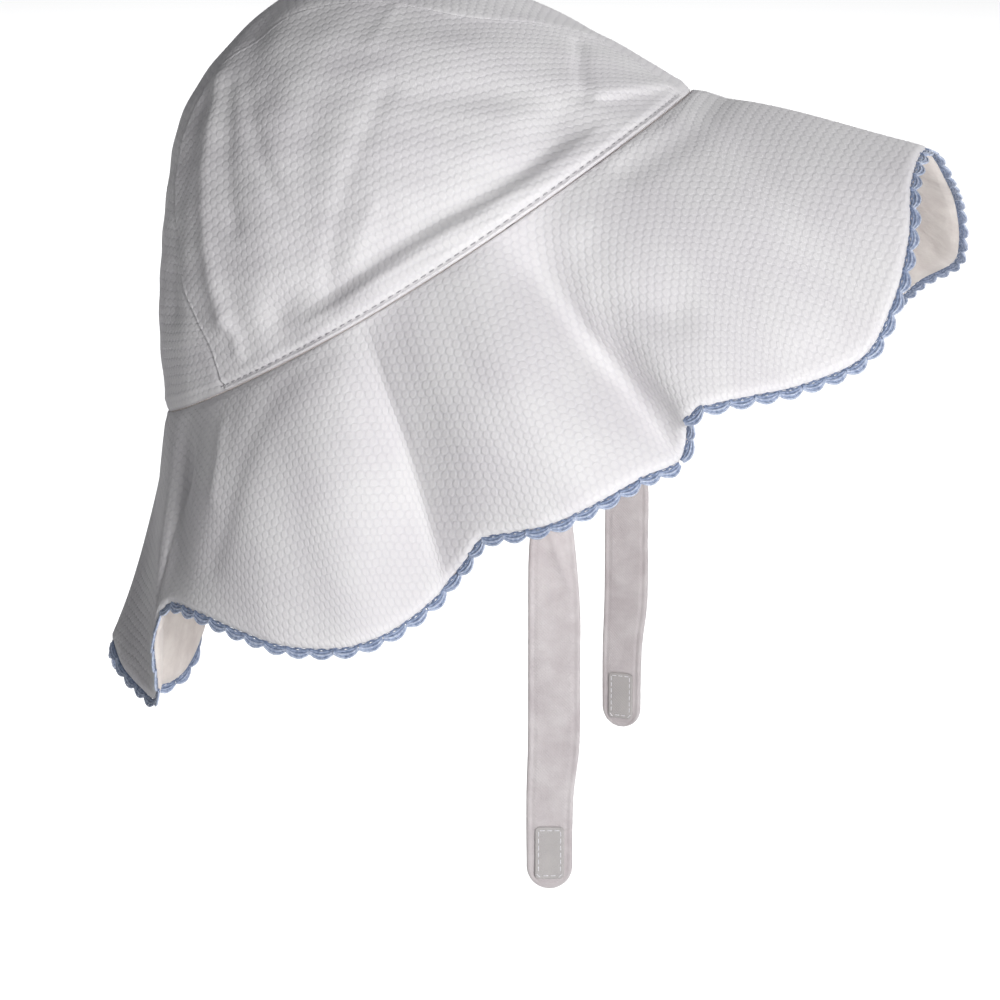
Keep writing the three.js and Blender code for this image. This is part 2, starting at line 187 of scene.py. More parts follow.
STRAP_ROUTE = (
    StrapRow(60, 38, -20, 58, 14),
    StrapRow(63.5, 38.5, -6, 62, 14),
    StrapRow(67, 40, 12, 66, 13.5),
    StrapRow(69.5, 42.5, 30, 66, 12),
    StrapRow(71, 44.5, 44, 58, 10),
    StrapRow(72, 45.5, 56, 66, 11),
    StrapRow(72, 46, 70, 74, 13),
    StrapRow(72, 46.5, 84, 78, 14),
    StrapRow(72, 46.5, 98, 80, 14),
    StrapRow(72, 46.5, 120, 80, 14),
    StrapRow(72, 45.5, 136, 80, 12.8),
    StrapRow(72, 45.5, 161.5, 80, 12.4),
)


class SmoothTable:
    """Smooth values between the rows of a table, as one curve through its places."""

    def __init__(self, rows: Sequence[NamedTuple], key: str, period: float = 0.0) -> None:
        """Take the rows' columns.

        Args:
            rows: The table's rows, in order of their key.
            key: The column that the places are measured along.
            period: The key's length round the hat, or 0 for a table with two ends.
        """
        self.columns = {name: np.array([getattr(row, name) for row in rows], float)
                        for name in rows[0]._fields}
        self.keys = self.columns[key]
        self.period = period

    def at(self, column: str, place: Array | float) -> Array:
        """Value of a column at one or many places.

        Args:
            column: Name of the column.
            place: Places along the key column.

        Returns:
            The smooth values, in the places' shape.
        """
        keys, values, count = self.keys, self.columns[column], len(self.keys)
        if self.period:
            keys = np.concatenate([keys[-2:] - self.period, keys, keys[:3] + self.period])
            values = np.concatenate([values[-2:], values, values[:3]])
            place = keys[2] + np.mod(np.asarray(place, float) - keys[2], self.period)
        slopes = np.empty(len(keys))
        slopes[1:-1] = (values[2:] - values[:-2]) / (keys[2:] - keys[:-2])
        slopes[0] = (values[1] - values[0]) / (keys[1] - keys[0])
        slopes[-1] = (values[-1] - values[-2]) / (keys[-1] - keys[-2])
        lowest, highest = (2, 1 + count) if self.period else (0, count - 2)
        low = np.clip(np.searchsorted(keys, place, side="right") - 1, lowest, highest)
        span = keys[low + 1] - keys[low]
        share = (place - keys[low]) / span
        square, cube = share**2, share**3
        return ((2 * cube - 3 * square + 1) * values[low]
                + (cube - 2 * square + share) * span * slopes[low]
                + (3 * square - 2 * cube) * values[low + 1]
                + (cube - square) * span * slopes[low + 1])


def unit(vectors: Array) -> Array:
    """The vectors at length one."""
    return vectors / np.maximum(np.linalg.norm(vectors, axis=-1, keepdims=True), 1e-9)


def smooth_step(low: float, high: float, value: Array) -> Array:
    """A soft rise from 0 at low to 1 at high."""
    share = np.clip((value - low) / (high - low), 0, 1)
    return share * share * (3 - 2 * share)


def bump(value: Array, middle: Array | float, width: float) -> Array:
    """A soft bump of height one round a middle value."""
    return np.exp(-(((value - middle) / width) ** 2))


def run_lengths(line: Array) -> Array:
    """Length along a line of places up to each of them."""
    return np.concatenate([[0], np.cumsum(np.linalg.norm(np.diff(line, axis=0), axis=1))])


class FoldForm(Enum):
    """How the cloth stands across a fold line."""

    ROUND = "a soft roll"
    CRISP = "a roll with a sharp back"
    STEP = "cloth that lies higher on the line's left than on its right"


@dataclass(frozen=True)
class Fold:
    """One fold of the cloth along a line of places."""

    path: tuple[tuple[float, float], ...]
    height: float
    width: float
    form: FoldForm = FoldForm.ROUND

    def relief(self, places: Array, outward: Array, line: Array) -> Array:
        """Height of the fold at many places.

        Args:
            places: The places, (n, 3), in millimetres.
            outward: The direction that the cloth faces there, (n, 3) or (3,).
            line: The fold's own line through the same space, (m, 3).

        Returns:
            The height at each place, in millimetres.
        """
        nearest = np.full(len(places), 1e9)
        left, gone = np.zeros(len(places)), np.zeros(len(places))
        for step, (start, end) in enumerate(zip(line[:-1], line[1:])):
            along = end - start
            share = np.clip(((places - start) @ along) / (along @ along), 0, 1)
            offset = places - (start + share[:, None] * along)
            distance = np.linalg.norm(offset, axis=1)
            closer = distance < nearest
            side = np.sum(np.cross(np.broadcast_to(outward, places.shape), along) * offset, axis=1)
            nearest = np.where(closer, distance, nearest)
            left = np.where(closer, np.sign(side), left)
            gone = np.where(closer, (step + share) / (len(line) - 1), gone)
        if self.form is FoldForm.ROUND:
            return self.height * bump(nearest, 0, self.width)
        if self.form is FoldForm.CRISP:
            shape = np.exp(-nearest / self.width)
        else:
            shape = left * np.tanh(1.6 * nearest / self.width) * bump(nearest, 0, 3 * self.width)
        fading = smooth_step(0, END_FADE, gone) * smooth_step(1, 1 - END_FADE, gone)
        return self.height * shape * fading


# Dents and folds in the crown, each along places of turn and rise; the solids have the dents too
CROWN_DENTS = (
    Fold(((36, 11), (112, 9)), -2.0, 6),
    Fold(((146, 20), (128, 60)), -1.6, 6),
    Fold(((104, 76), (98, 56)), -1.2, 7),
    Fold(((100, 14), (86, 40)), -0.9, 8),
    Fold(((248, 10), (322, 11)), -1.6, 7),
)
CROWN_FOLDS = (
    Fold(((112, 5.2), (98, 5.6), (91, 6.4), (81, 7), (74, 7), (64, 6.3), (52, 5.6), (42, 5.6),
          (26, 5.2)), -2.2, 3.3, FoldForm.STEP),
    Fold(((112, 7.2), (98, 7.6), (91, 8.4), (81, 9.2), (74, 9.2), (64, 8.4), (52, 7.6), (42, 7.6),
          (26, 7.2)), -0.7, 1.6, FoldForm.CRISP),
    Fold(((123, 65), (122, 53), (124, 46), (125, 38), (126, 28), (126, 13)), 1.3, 4.2),
    Fold(((114, 61), (113, 51), (115, 42), (116, 30)), -0.9, 3.8),
    Fold(((105, 61), (103, 48), (102, 38), (101, 30)), -0.7, 3.0),
    Fold(((36, 55), (50, 52), (61, 48)), 0.7, 2.4, FoldForm.CRISP),
    Fold(((62, 39), (73, 33), (84, 25), (94, 15), (99, 9)), -0.6, 2.4),
    Fold(((81, 18.4), (86, 14.4), (91, 10.8)), 0.7, 3.0),
    Fold(((52, 42), (42, 36), (36, 28)), 0.8, 9),
    Fold(((58, 31), (46, 26), (34, 16)), -0.8, 8),
    Fold(((125, 12.8), (124, 9), (125, 6)), 0.8, 3.0),
    Fold(((12, 22), (22, 17), (28, 12)), -0.8, 2.6),
    Fold(((28, 10.4), (21, 7.6), (13, 4.8), (3, 1.6)), 0.8, 2.0, FoldForm.STEP),
    Fold(((252, 6), (270, 7), (290, 7), (310, 6)), -1.2, 2.8, FoldForm.CRISP),
    Fold(((236, 60), (238, 44), (236, 20)), 1.1, 4.5),
    Fold(((300, 40), (276, 26), (262, 10)), -0.8, 4),
)

# Folds in the brim, each along places of turn and share of the way to the hem
BRIM_FOLDS = (
    Fold(((34, 0.1), (18, 0.14), (2, 0.12)), -1.0, 5.0),
    Fold(((50, 0.26), (50, 0.4), (47, 0.54), (43, 0.62)), -1.2, 6.5),
    Fold(((49.4, 0.15), (53.4, 0.33), (57.2, 0.46)), 0.5, 7.0),
    Fold(((60, 0.2), (61, 0.46), (59, 0.61), (57, 0.82), (56, 1)), -2.0, 9.0),
    Fold(((105, 0.04), (112, 0.06), (119, 0.12), (124, 0.23), (127, 0.35), (131, 0.5), (136, 0.63)),
         -0.6, 5.0),
    Fold(((132, 0.16), (132.5, 0.28), (134, 0.4)), 0.5, 3.0),
    Fold(((142, 0.1), (148, 0.32), (150.5, 0.48), (152, 0.7), (153.8, 0.9)), -1.2, 3.0, FoldForm.CRISP),
    Fold(((16, 0.15), (22, 0.5), (27, 0.9)), 0.6, 9.0),
    Fold(((250, 0.1), (256, 0.5), (262, 1)), -1.2, 5.0),
    Fold(((300, 0.2), (302, 0.6), (304, 1)), -1.4, 5.0),
)


@dataclass(frozen=True)
class HatForm:
    """The shape of the hat's cloth: its crown, the head opening's rim and the brim."""

    opening_length: float = 175.0
    tilt: float = 32.0
    side_dip: float = 2.0
    seam_gap: float = 0.35
    strip_turn: float = 10.0
    trim_width: float = 3.6
    cut_radius: float = 81.3
    cut_width: float = 78.0
    profile: SmoothTable = field(default_factory=lambda: SmoothTable(CROWN_PROFILE, "rise"))
    strip: SmoothTable = field(default_factory=lambda: SmoothTable(STRIP_SHAPE, "over"))
    hem: SmoothTable = field(default_factory=lambda: SmoothTable(HEM_ROWS, "turn", 360))

    def worn(self, points: Array) -> Array:
        """Places in the untilted hat, turned back with the hat as it is worn."""
        angle = math.radians(self.tilt)
        return np.stack([
            points[..., 0],
            points[..., 1] * math.cos(angle) + points[..., 2] * math.sin(angle),
            -points[..., 1] * math.sin(angle) + points[..., 2] * math.cos(angle),
        ], axis=-1)

    @staticmethod
    def direction(turn: Array | float, rise: Array | float) -> Array:
        """Unit directions from the origin at the given turn and rise."""
        turn, rise = np.radians(turn), np.radians(rise)
        return np.stack(np.broadcast_arrays(
            -np.sin(turn) * np.cos(rise), -np.cos(turn) * np.cos(rise), np.sin(rise)), axis=-1)

    def fold_heights(self, folds: Sequence[Fold], rays: Array) -> Array:
        """Height of all the folds at the crown's rays.

        Args:
            folds: Folds along places of turn and rise.
            rays: Unit directions, (n, 3).

        Returns:
            The sum of their heights, in millimetres.
        """
        half = self.opening_length / 2
        total = np.zeros(len(rays))
        for fold in folds:
            places = np.array(fold.path, float)
            line = self.direction(places[:, 0], places[:, 1]) * half
            total += fold.relief(rays * half, rays, line)
        return total

    def above_rim(self, rays: Array) -> Array:
        """Length of cloth between the opening's rim and unit directions."""
        return self.opening_length / 2 * np.arcsin(np.clip(rays[..., 2], 0, 1))

    def crown_radius(self, rays: Array) -> Array:
        """Distance of the crown's cloth from the origin along unit directions."""
        rise = np.degrees(np.arcsin(np.clip(rays[:, 2], -1, 1)))
        heading = np.arctan2(rays[:, 0], rays[:, 1])
        along, across = np.cos(heading), np.sin(heading)
        lengthwise = np.where(along < 0, self.profile.at("front", rise), self.profile.at("back", rise))
        radius = 1 / np.hypot(along / lengthwise, across / self.profile.at("side", rise))
        return radius + self.fold_heights(CROWN_DENTS, rays)

    def dip(self, rays: Array) -> Array:
        """How far the opening's sides dip below its front and back, faded to the top."""
        turn_cosine = np.cos(np.arctan2(rays[:, 0], rays[:, 1]))
        fade = 1 - np.maximum(rays[:, 2], 0)
        return self.side_dip * (2 * turn_cosine**2 - 1) * fade**2

    def crown_points(self, rays: Array, raised: Array | float = 0.0) -> Array:
        """Places of the crown's cloth as worn.

        Args:
            rays: Unit directions in the untilted hat, (n, 3).
            raised: Fine relief that is added along each ray.

        Returns:
            The places, (n, 3).
        """
        points = rays * (self.crown_radius(rays) + raised)[:, None]
        points[:, 2] += self.dip(rays) + self.seam_gap
        return self.worn(points)

    def fan_rays(self, across: Array, fan: Array) -> Array:
        """Directions at a distance from the strip's middle line and a fan angle over the top.

        Args:
            across: Distance from the middle line towards +X.
            fan: Angle from the opening's front over the top to its back.

        Returns:
            Unit directions, (n, 3).
        """
        across, fan = (np.asarray(values, float) for values in np.broadcast_arrays(across, fan))
        low, high = np.zeros(len(fan)), np.full(len(fan), self.opening_length)
        turned = math.radians(self.strip_turn)
        angle = np.radians(fan)
        for _ in range(30):
            middle = (low + high) / 2
            place = np.stack([across, -middle * np.cos(angle), middle * np.sin(angle)], axis=1)
            length = np.linalg.norm(place, axis=1)
            rays = place / length[:, None]
            rays = np.stack([
                rays[:, 0] * math.cos(turned) - rays[:, 1] * math.sin(turned),
                rays[:, 0] * math.sin(turned) + rays[:, 1] * math.cos(turned),
                rays[:, 2],
            ], axis=1)
            inside = length < self.crown_radius(rays)
            low, high = np.where(inside, middle, low), np.where(inside, high, middle)
        return rays

    def rim_points(self, turns: Array) -> Array:
        """Places of the head opening's rim as worn."""
        rays = self.direction(turns, np.zeros_like(turns))
        points = rays * self.crown_radius(rays)[:, None]
        points[:, 2] = self.dip(rays)
        return self.worn(points)

    def hem_points(self, turns: Array) -> Array:
        """Places of the brim's hem, at the outer edge of the edging."""
        return np.stack([-self.hem.at("right", turns), -self.hem.at("front", turns),
                         self.hem.at("up", turns)], axis=-1)

    def even_turns(self, count: int) -> Array:
        """Turns at even steps along the hem."""
        turns = np.linspace(0, 360, 7201)
        points = self.hem_points(turns)
        lengths = run_lengths(points)
        return np.interp(np.arange(count) * lengths[-1] / count, lengths, turns)

    def brim_points(self, turns: Array, shares: Array) -> Array:
        """Places of the brim's cloth.

        Args:
            turns: Turns round the opening, (n,).
            shares: Shares of the way from the rim to the hem, (n, m).

        Returns:
            The places, (n, m, 3).
        """
        rim, hem = self.rim_points(turns), self.hem_points(turns)
        line = hem - rim
        tangent = self.rim_points(turns + 1) - self.rim_points(turns - 1)
        outward = unit(np.cross(tangent, line))
        lift = self.hem.at("lift", turns)
        bow = 4 * lift[:, None] * shares * (1 - shares)
        return rim[:, None] + line[:, None] * shares[..., None] + outward[:, None] * bow[..., None]

    def cut_places(self, turns: Array, lengths: Array) -> Array:
        """Where the brim's cloth lay in its flat cut, a ring whose hole is the head opening.

        Args:
            turns: Turns, broadcast with the lengths.
            lengths: Distance of the cloth from the rim.

        Returns:
            Flat places, (..., 2).
        """
        angle = np.radians(turns)
        radius = self.cut_radius + lengths
        return np.stack([radius * np.sin(angle), radius * np.cos(angle)], axis=-1)


# Meshes


def shown(name: str, data: bpy.types.ID) -> bpy.types.Object:
    """A new object of the data, linked to the scene."""
    made = bpy.data.objects.new(name, data)
    bpy.context.scene.collection.objects.link(made)
    return made


def mesh_object(name: str, points: Array, faces: Sequence[Sequence[int]] | Array,
                flat: Array | None = None) -> bpy.types.Object:
    """Make a smooth-shaded object from places in millimetres.

    Args:
        name: Name of the object and its mesh.
        points: Vertex places, (n, 3).
        faces: Vertex indices of each face.
        flat: Places in the flat cut for each face corner, in millimetres.

    Returns:
        The new object, linked to the scene.
    """
    mesh = bpy.data.meshes.new(name)
    faces = faces.tolist() if isinstance(faces, np.ndarray) else faces
    mesh.from_pydata((points * MM).tolist(), [], faces)
    if flat is not None:
        layer = mesh.uv_layers.new(name="cut")
        layer.data.foreach_set("uv", (flat * MM).astype(np.float32).ravel())
    mesh.polygons.foreach_set("use_smooth", np.ones(len(mesh.polygons), bool))
    mesh.update()
    return shown(name, mesh)


def grid_normals(points: Array, ring: bool) -> Array:
    """Unit normals of a grid of places, columns by rows.

    Args:
        points: The grid, (columns, rows, 3).
        ring: Whether the last column joins the first.

    Returns:
        Normals on the side of columns cross rows.
    """
    if ring:
        along = np.roll(points, -1, axis=0) - np.roll(points, 1, axis=0)
    else:
        along = np.gradient(points, axis=0)
    return unit(np.cross(along, np.gradient(points, axis=1)))


def cloth_wall(name: str, points: Array, normals: Array, inner: Array | float, outer: Array | float,
               flat: Array, ring: bool = False) -> bpy.types.Object:
    """Make a closed wall of cloth over a grid of places.

    Args:
        name: Name of the piece.
        points: The grid, (columns, rows, 3).
        normals: Where each place faces, in the same shape.
        inner: Offset of the inner face along the normals, a number or one for each place.
        outer: Offset of the outer face, likewise.
        flat: Places in the flat cut, (columns, or one more for a ring, rows, 2).
        ring: Whether the last column joins the first.

    Returns:
        The new object.
    """
    columns, rows = points.shape[:2]
    layers = [points + normals * np.broadcast_to(offset, (columns, rows))[..., None]
              for offset in (outer, inner)]
    vertices = np.concatenate([layer.reshape(-1, 3) for layer in layers])
    shift = columns * rows
    first = np.arange(columns if ring else columns - 1)
    column, row = (grid.ravel() for grid in np.meshgrid(first, np.arange(rows - 1), indexing="ij"))

    def corner(col: Array, at_row: Array, layer: int) -> Array:
        """Vertex numbers on one face of the wall."""
        return (col % columns) * rows + at_row + layer * shift

    def quads(corners: list[tuple[Array, Array, int]]) -> tuple[Array, Array]:
        """Faces and their places in the flat cut."""
        faces = np.stack([corner(*each) for each in corners], axis=1)
        return faces, np.stack([flat[each[0], each[1]] for each in corners], axis=1)

    after, below = column + 1, row + 1
    ends = [
        quads([(column, row, 0), (after, row, 0), (after, below, 0), (column, below, 0)]),
        quads([(column, row, 1), (column, below, 1), (after, below, 1), (after, row, 1)]),
    ]
    after = first + 1
    top, bottom = np.zeros_like(first), np.full_like(first, rows - 1)
    ends.append(quads([(first, top, 0), (first, top, 1), (after, top, 1), (after, top, 0)]))
    ends.append(quads([(first, bottom, 0), (after, bottom, 0), (after, bottom, 1), (first, bottom, 1)]))
    if not ring:
        side = np.arange(rows - 1)
        below = side + 1
        start, end = np.zeros_like(side), np.full_like(side, columns - 1)
        ends.append(quads([(start, side, 0), (start, below, 0), (start, below, 1), (start, side, 1)]))
        ends.append(quads([(end, side, 0), (end, side, 1), (end, below, 1), (end, below, 0)]))
    faces = np.concatenate([each[0] for each in ends])
    corners = np.concatenate([each[1] for each in ends]).reshape(-1, 2)
    made = mesh_object(name, vertices, faces, corners)
    clean_shell(made)
    return made


def clean_shell(made: bpy.types.Object) -> None:
    """Merge doubled vertices and turn the faces of a closed shell outwards."""
    shell = bmesh.new()
    shell.from_mesh(made.data)
    bmesh.ops.remove_doubles(shell, verts=shell.verts, dist=2e-6)
    bmesh.ops.dissolve_degenerate(shell, edges=shell.edges, dist=1e-7)
    if shell.calc_volume(signed=True) < 0:
        bmesh.ops.reverse_faces(shell, faces=shell.faces)
    shell.to_mesh(made.data)
    shell.free()
    made.data.polygons.foreach_set("use_smooth", np.ones(len(made.data.polygons), bool))


def rounded(distance: Array, reach: float) -> Array:
    """Share of the full thickness near an edge, so that the edge is round."""
    share = np.clip(distance / reach, 0, 1)
    return 0.25 + 0.75 * np.sqrt(1 - (1 - share) ** 2)


# Shader and geometry trees


def add_node(tree: bpy.types.NodeTree, kind: str, settings: dict | None = None,
             links: dict | None = None) -> bpy.types.Node:
    """Add one node.

    Args:
        tree: The shader or geometry tree.
        kind: Blender's name of the node type.
        settings: The node's own properties.
        links: Value or output socket for each input, by its name or number.

    Returns:
        The new node.
    """
    node = tree.nodes.new(kind)
    for name, value in (settings or {}).items():
        setattr(node, name, value)
    for name, value in (links or {}).items():
        if isinstance(value, bpy.types.NodeSocket):
            tree.links.new(value, node.inputs[name])
        else:
            node.inputs[name].default_value = value
    return node


def colour(code: str) -> tuple[float, float, float, float]:
    """Turn an sRGB hex colour into Blender's linear one."""
    parts = [int(code[i:i + 2], 16) / 255 for i in (1, 3, 5)]
    linear = [part / 12.92 if part <= 0.04045 else ((part + 0.055) / 1.055) ** 2.4 for part in parts]
    return (*linear, 1.0)


def surface(name: str, sockets: dict) -> tuple[bpy.types.Material, bpy.types.NodeTree]:
    """Start a material.

    Args:
        name: Its name.
        sockets: Values of its Principled shader's own sockets.

    Returns:
        The material and its tree.
    """
    material = bpy.data.materials.new(name)
    material.use_nodes = True
    tree = material.node_tree
    for title, value in sockets.items():
        tree.nodes["Principled BSDF"].inputs[title].default_value = value
    return material, tree


def coat(tree: bpy.types.NodeTree, tone: bpy.types.NodeSocket, normal: bpy.types.NodeSocket) -> None:
    """Give a material's shader its colour and its relief."""
    shader = tree.nodes["Principled BSDF"]
    tree.links.new(tone, shader.inputs["Base Color"])
    tree.links.new(normal, shader.inputs["Normal"])


def wave(tree: bpy.types.NodeTree, place: bpy.types.NodeSocket, speed: Sequence[float],
         form: str) -> bpy.types.NodeSocket:
    """A wave over the flat cut.

    Args:
        tree: The shader tree.
        place: Socket of the places, in metres.
        speed: Radians for each metre along each axis.
        form: SINE or COSINE.

    Returns:
        The socket of its height.
    """
    phase = add_node(tree, "ShaderNodeVectorMath", {"operation": "DOT_PRODUCT"}, {0: place, 1: speed})
    return add_node(tree, "ShaderNodeMath", {"operation": form}, {0: phase.outputs["Value"]}).outputs[0]


@dataclass(frozen=True)
class PiqueCotton:
    """White cotton pique, woven with raised honeycomb cells: matt, with a fine grain of light and shade and
    painted shade in the grooves between the cells.
    """

    cell_width: float = 2.35
    cell_rows: float = 2.6
    row_weight: float = 1.35
    cell_height: float = 0.09
    wander: float = 1.1
    wander_size: float = 9.0
    fuzz_size: float = 0.55
    fuzz_height: float = 0.12
    patch_size: float = 26.0
    top: str = "#F0EEEF"
    # groove: painted shade, a slightly darker white where the cells' grooves lie low
    groove: str = "#EBE9EB"
    tint: str = "#F3F1F4"

    def material(self, name: str) -> bpy.types.Material:
        """Build the material.

        Args:
            name: Its name.

        Returns:
            The material; it reads the piece's cut places in metres.
        """
        made, tree = surface(name, {"Roughness": 0.88, "Specular IOR Level": 0.25, "Sheen Weight": 0.12,
                                    "Sheen Roughness": 0.5})
        cut = add_node(tree, "ShaderNodeUVMap", {"uv_map": "cut"}).outputs["UV"]
        flat = {"noise_dimensions": "2D"}
        wander = add_node(tree, "ShaderNodeTexNoise", flat,
                          {"Vector": cut, "Scale": 1 / (self.wander_size * MM), "Detail": 1.0})
        centred = add_node(tree, "ShaderNodeVectorMath", {"operation": "SUBTRACT"},
                           {0: wander.outputs["Color"], 1: (0.5, 0.5, 0.5)})
        drawn = add_node(tree, "ShaderNodeVectorMath", {"operation": "SCALE"},
                         {0: centred.outputs[0], "Scale": self.wander * MM})
        place = add_node(tree, "ShaderNodeVectorMath", {"operation": "ADD"}, {0: cut, 1: drawn.outputs[0]})
        across, rows = math.tau / (self.cell_width * MM), math.pi / (self.cell_rows * MM)
        waves = [wave(tree, place.outputs[0], speed, "COSINE")
                 for speed in ((across, rows, 0), (across, -rows, 0), (0, 2 * rows, 0))]
        pair = add_node(tree, "ShaderNodeMath", {"operation": "ADD"}, {0: waves[0], 1: waves[1]})
        cells = add_node(tree, "ShaderNodeMath", {"operation": "MULTIPLY_ADD"},
                         {0: waves[2], 1: self.row_weight, 2: pair.outputs[0]})
        pillow = add_node(tree, "ShaderNodeMapRange", {"interpolation_type": "SMOOTHSTEP"},
                          {"Value": cells.outputs[0], "From Min": -1.7, "From Max": 0.2})
        fuzz = add_node(tree, "ShaderNodeTexNoise", flat,
                        {"Vector": cut, "Scale": 1 / (self.fuzz_size * MM), "Detail": 3.0,
                         "Roughness": 0.65})
        broad = add_node(tree, "ShaderNodeTexNoise", flat,
                         {"Vector": cut, "Scale": 1 / (self.patch_size * MM), "Detail": 2.0})
        # Painted shade: the pillow height that raises the cells also darkens the grooves towards the groove
        # colour
        shade = add_node(tree, "ShaderNodeMix", {"data_type": "RGBA"},
                         {0: pillow.outputs[0], 6: colour(self.groove), 7: colour(self.top)})
        tone = add_node(tree, "ShaderNodeMapRange", {},
                        {"Value": broad.outputs[0], "From Min": 0.35, "From Max": 0.65, "To Max": 0.5})
        cloth = add_node(tree, "ShaderNodeMix", {"data_type": "RGBA", "blend_type": "MULTIPLY"},
                         {0: tone.outputs[0], 6: shade.outputs[2], 7: colour(self.tint)})
        relief = add_node(tree, "ShaderNodeBump", {},
                          {"Strength": 1.0, "Distance": self.cell_height * MM, "Height": pillow.outputs[0]})
        grain = add_node(tree, "ShaderNodeBump", {},
                         {"Strength": 0.5, "Distance": self.fuzz_height * MM, "Height": fuzz.outputs[0],
                          "Normal": relief.outputs[0]})
        coat(tree, cloth.outputs[2], grain.outputs[0])
        return made


@dataclass(frozen=True)
class PlainCotton:
    """Cream cotton in plain weave, soft from washing: matt, almost smooth, with small random crumples."""

    thread: float = 0.9
    thread_height: float = 0.06
    light: str = "#EAE3DE"
    shade: str = "#D8CFCB"
    crumple: float = 0.8
    crumple_size: float = 9.0

    def material(self, name: str) -> bpy.types.Material:
        """Build the material.

        Args:
            name: Its name.

        Returns:
            The material; its threads are drawn coarser than real ones so that they show.
        """
        made, tree = surface(name, {"Roughness": 0.9, "Specular IOR Level": 0.2, "Sheen Weight": 0.15})
        cut = add_node(tree, "ShaderNodeUVMap", {"uv_map": "cut"}).outputs["UV"]
        step = math.tau / (self.thread * MM)
        waves = [wave(tree, cut, speed, "SINE") for speed in ((step, 0, 0), (0, step, 0))]
        weave = add_node(tree, "ShaderNodeMath", {"operation": "MULTIPLY"}, {0: waves[0], 1: waves[1]})
        crumples = add_node(tree, "ShaderNodeTexNoise", {"noise_dimensions": "2D"},
                            {"Vector": cut, "Scale": 1 / (self.crumple_size * MM), "Detail": 4.0,
                             "Roughness": 0.6})
        shade = add_node(tree, "ShaderNodeMapRange", {},
                         {"Value": crumples.outputs[0], "From Min": 0.30, "From Max": 0.70})
        cloth = add_node(tree, "ShaderNodeMix", {"data_type": "RGBA"},
                         {0: shade.outputs[0], 6: colour(self.shade), 7: colour(self.light)})
        relief = add_node(tree, "ShaderNodeBump", {},
                          {"Strength": 0.6, "Distance": self.crumple * MM, "Height": crumples.outputs[0]})
        grain = add_node(tree, "ShaderNodeBump", {},
                         {"Strength": 0.5, "Distance": self.thread_height * MM, "Height": weave.outputs[0],
                          "Normal": relief.outputs[0]})
        coat(tree, cloth.outputs[2], grain.outputs[0])
        return made


@dataclass(frozen=True)
class Thread:
    """Twisted cotton thread: slightly glossy on top of each ply, with painted shade that darkens it between
    them.
    """

    light: str
    # deep: painted shade, the colour where the thread lies low between its plies
    deep: str
    ply: float = 0.9
    ply_height: float = 0.12

    def material(self, name: str) -> bpy.types.Material:
        """Build the material.

        Args:
            name: Its name.

        Returns:
            The material; its twist and tone follow Object coordinates.
        """
        made, tree = surface(name, {"Roughness": 0.6, "Sheen Weight": 0.2})
        place = add_node(tree, "ShaderNodeTexCoord")
        twist = add_node(tree, "ShaderNodeTexNoise", {},
                         {"Vector": place.outputs["Object"], "Scale": 1 / (self.ply * MM), "Detail": 2.0})
        # Painted shade: the noise that raises the plies also darkens the thread between them
        tone = add_node(tree, "ShaderNodeMapRange", {},
                        {"Value": twist.outputs[0], "From Min": 0.36, "From Max": 0.62})
        cloth = add_node(tree, "ShaderNodeMix", {"data_type": "RGBA"},
                         {0: tone.outputs[0], 6: colour(self.deep), 7: colour(self.light)})
        relief = add_node(tree, "ShaderNodeBump", {},
                          {"Strength": 0.6, "Distance": self.ply_height * MM, "Height": twist.outputs[0]})
        coat(tree, cloth.outputs[2], relief.outputs[0])
        return made


@dataclass(frozen=True)
class StudioPaper:
    """Matt white paper for the floor."""

    tone: str = "#F6F6F6"

    def material(self, name: str) -> bpy.types.Material:
        """Build the material under a name."""
        return surface(name, {"Base Color": colour(self.tone), "Roughness": 0.95})[0]


@dataclass(frozen=True)
class Finishes:
    """Every finish of the hat, as materials."""

    pique: bpy.types.Material
    facing: bpy.types.Material
    strap: bpy.types.Material
    tape: bpy.types.Material
    chain: bpy.types.Material
    edging: bpy.types.Material
    outer_edging: bpy.types.Material
    sewing: bpy.types.Material
    sunk_sewing: bpy.types.Material

    @classmethod
    def made(cls) -> "Finishes":
        """Build all the materials."""
        return cls(
            pique=PiqueCotton().material("cotton_pique"),
            facing=PlainCotton().material("washed_plain_cotton"),
            strap=PlainCotton(light="#CFC9CA", shade="#BFB7B9", crumple=0.9).material("strap_cotton"),
            tape=PlainCotton(light="#BCB8B7", shade="#B3AFAF", crumple=0.5).material("fastening_tape"),
            # One blue crochet thread in three tones: the chain at the cloth is darker as painted shade, the
            # outer strands lighter as a painted highlight
            chain=Thread("#8795B2", "#62718F").material("blue_crochet_cotton_painted_shade"),
            edging=Thread("#A6B3CF", "#7B8BAA").material("blue_crochet_cotton"),
            outer_edging=Thread("#CAD3E6", "#9DAAC6").material("blue_crochet_cotton_painted_highlight"),
            sewing=Thread("#F4F2F5", "#D9D7DC", ply=0.5).material("white_sewing_thread"),
            # The band seam's white sewing thread is painted grey: painted shade for the sunk stitches and
            # the holes between them
            sunk_sewing=Thread("#BAB7BB", "#97949A", ply=0.5).material("shade_painted_sewing_thread"),
        )


@dataclass
class GroupInput:
    """A named input of a geometry tree."""

    name: str
    value: float | int
    kind: str = "NodeSocketFloat"


def geometry_tree(name: str, inputs: Sequence[GroupInput]) -> tuple[bpy.types.NodeTree, bpy.types.Node]:
    """Start a geometry tree with named inputs.

    Args:
        name: Name of the tree.
        inputs: Its inputs after the geometry.

    Returns:
        The tree and its input node.
    """
    tree = bpy.data.node_groups.new(name, "GeometryNodeTree")
    tree.interface.new_socket("Geometry", in_out="INPUT", socket_type="NodeSocketGeometry")
    for each in inputs:
        socket = tree.interface.new_socket(each.name, in_out="INPUT", socket_type=each.kind)
        socket.default_value = each.value
    tree.interface.new_socket("Geometry", in_out="OUTPUT", socket_type="NodeSocketGeometry")
    return tree, tree.nodes.new("NodeGroupInput")


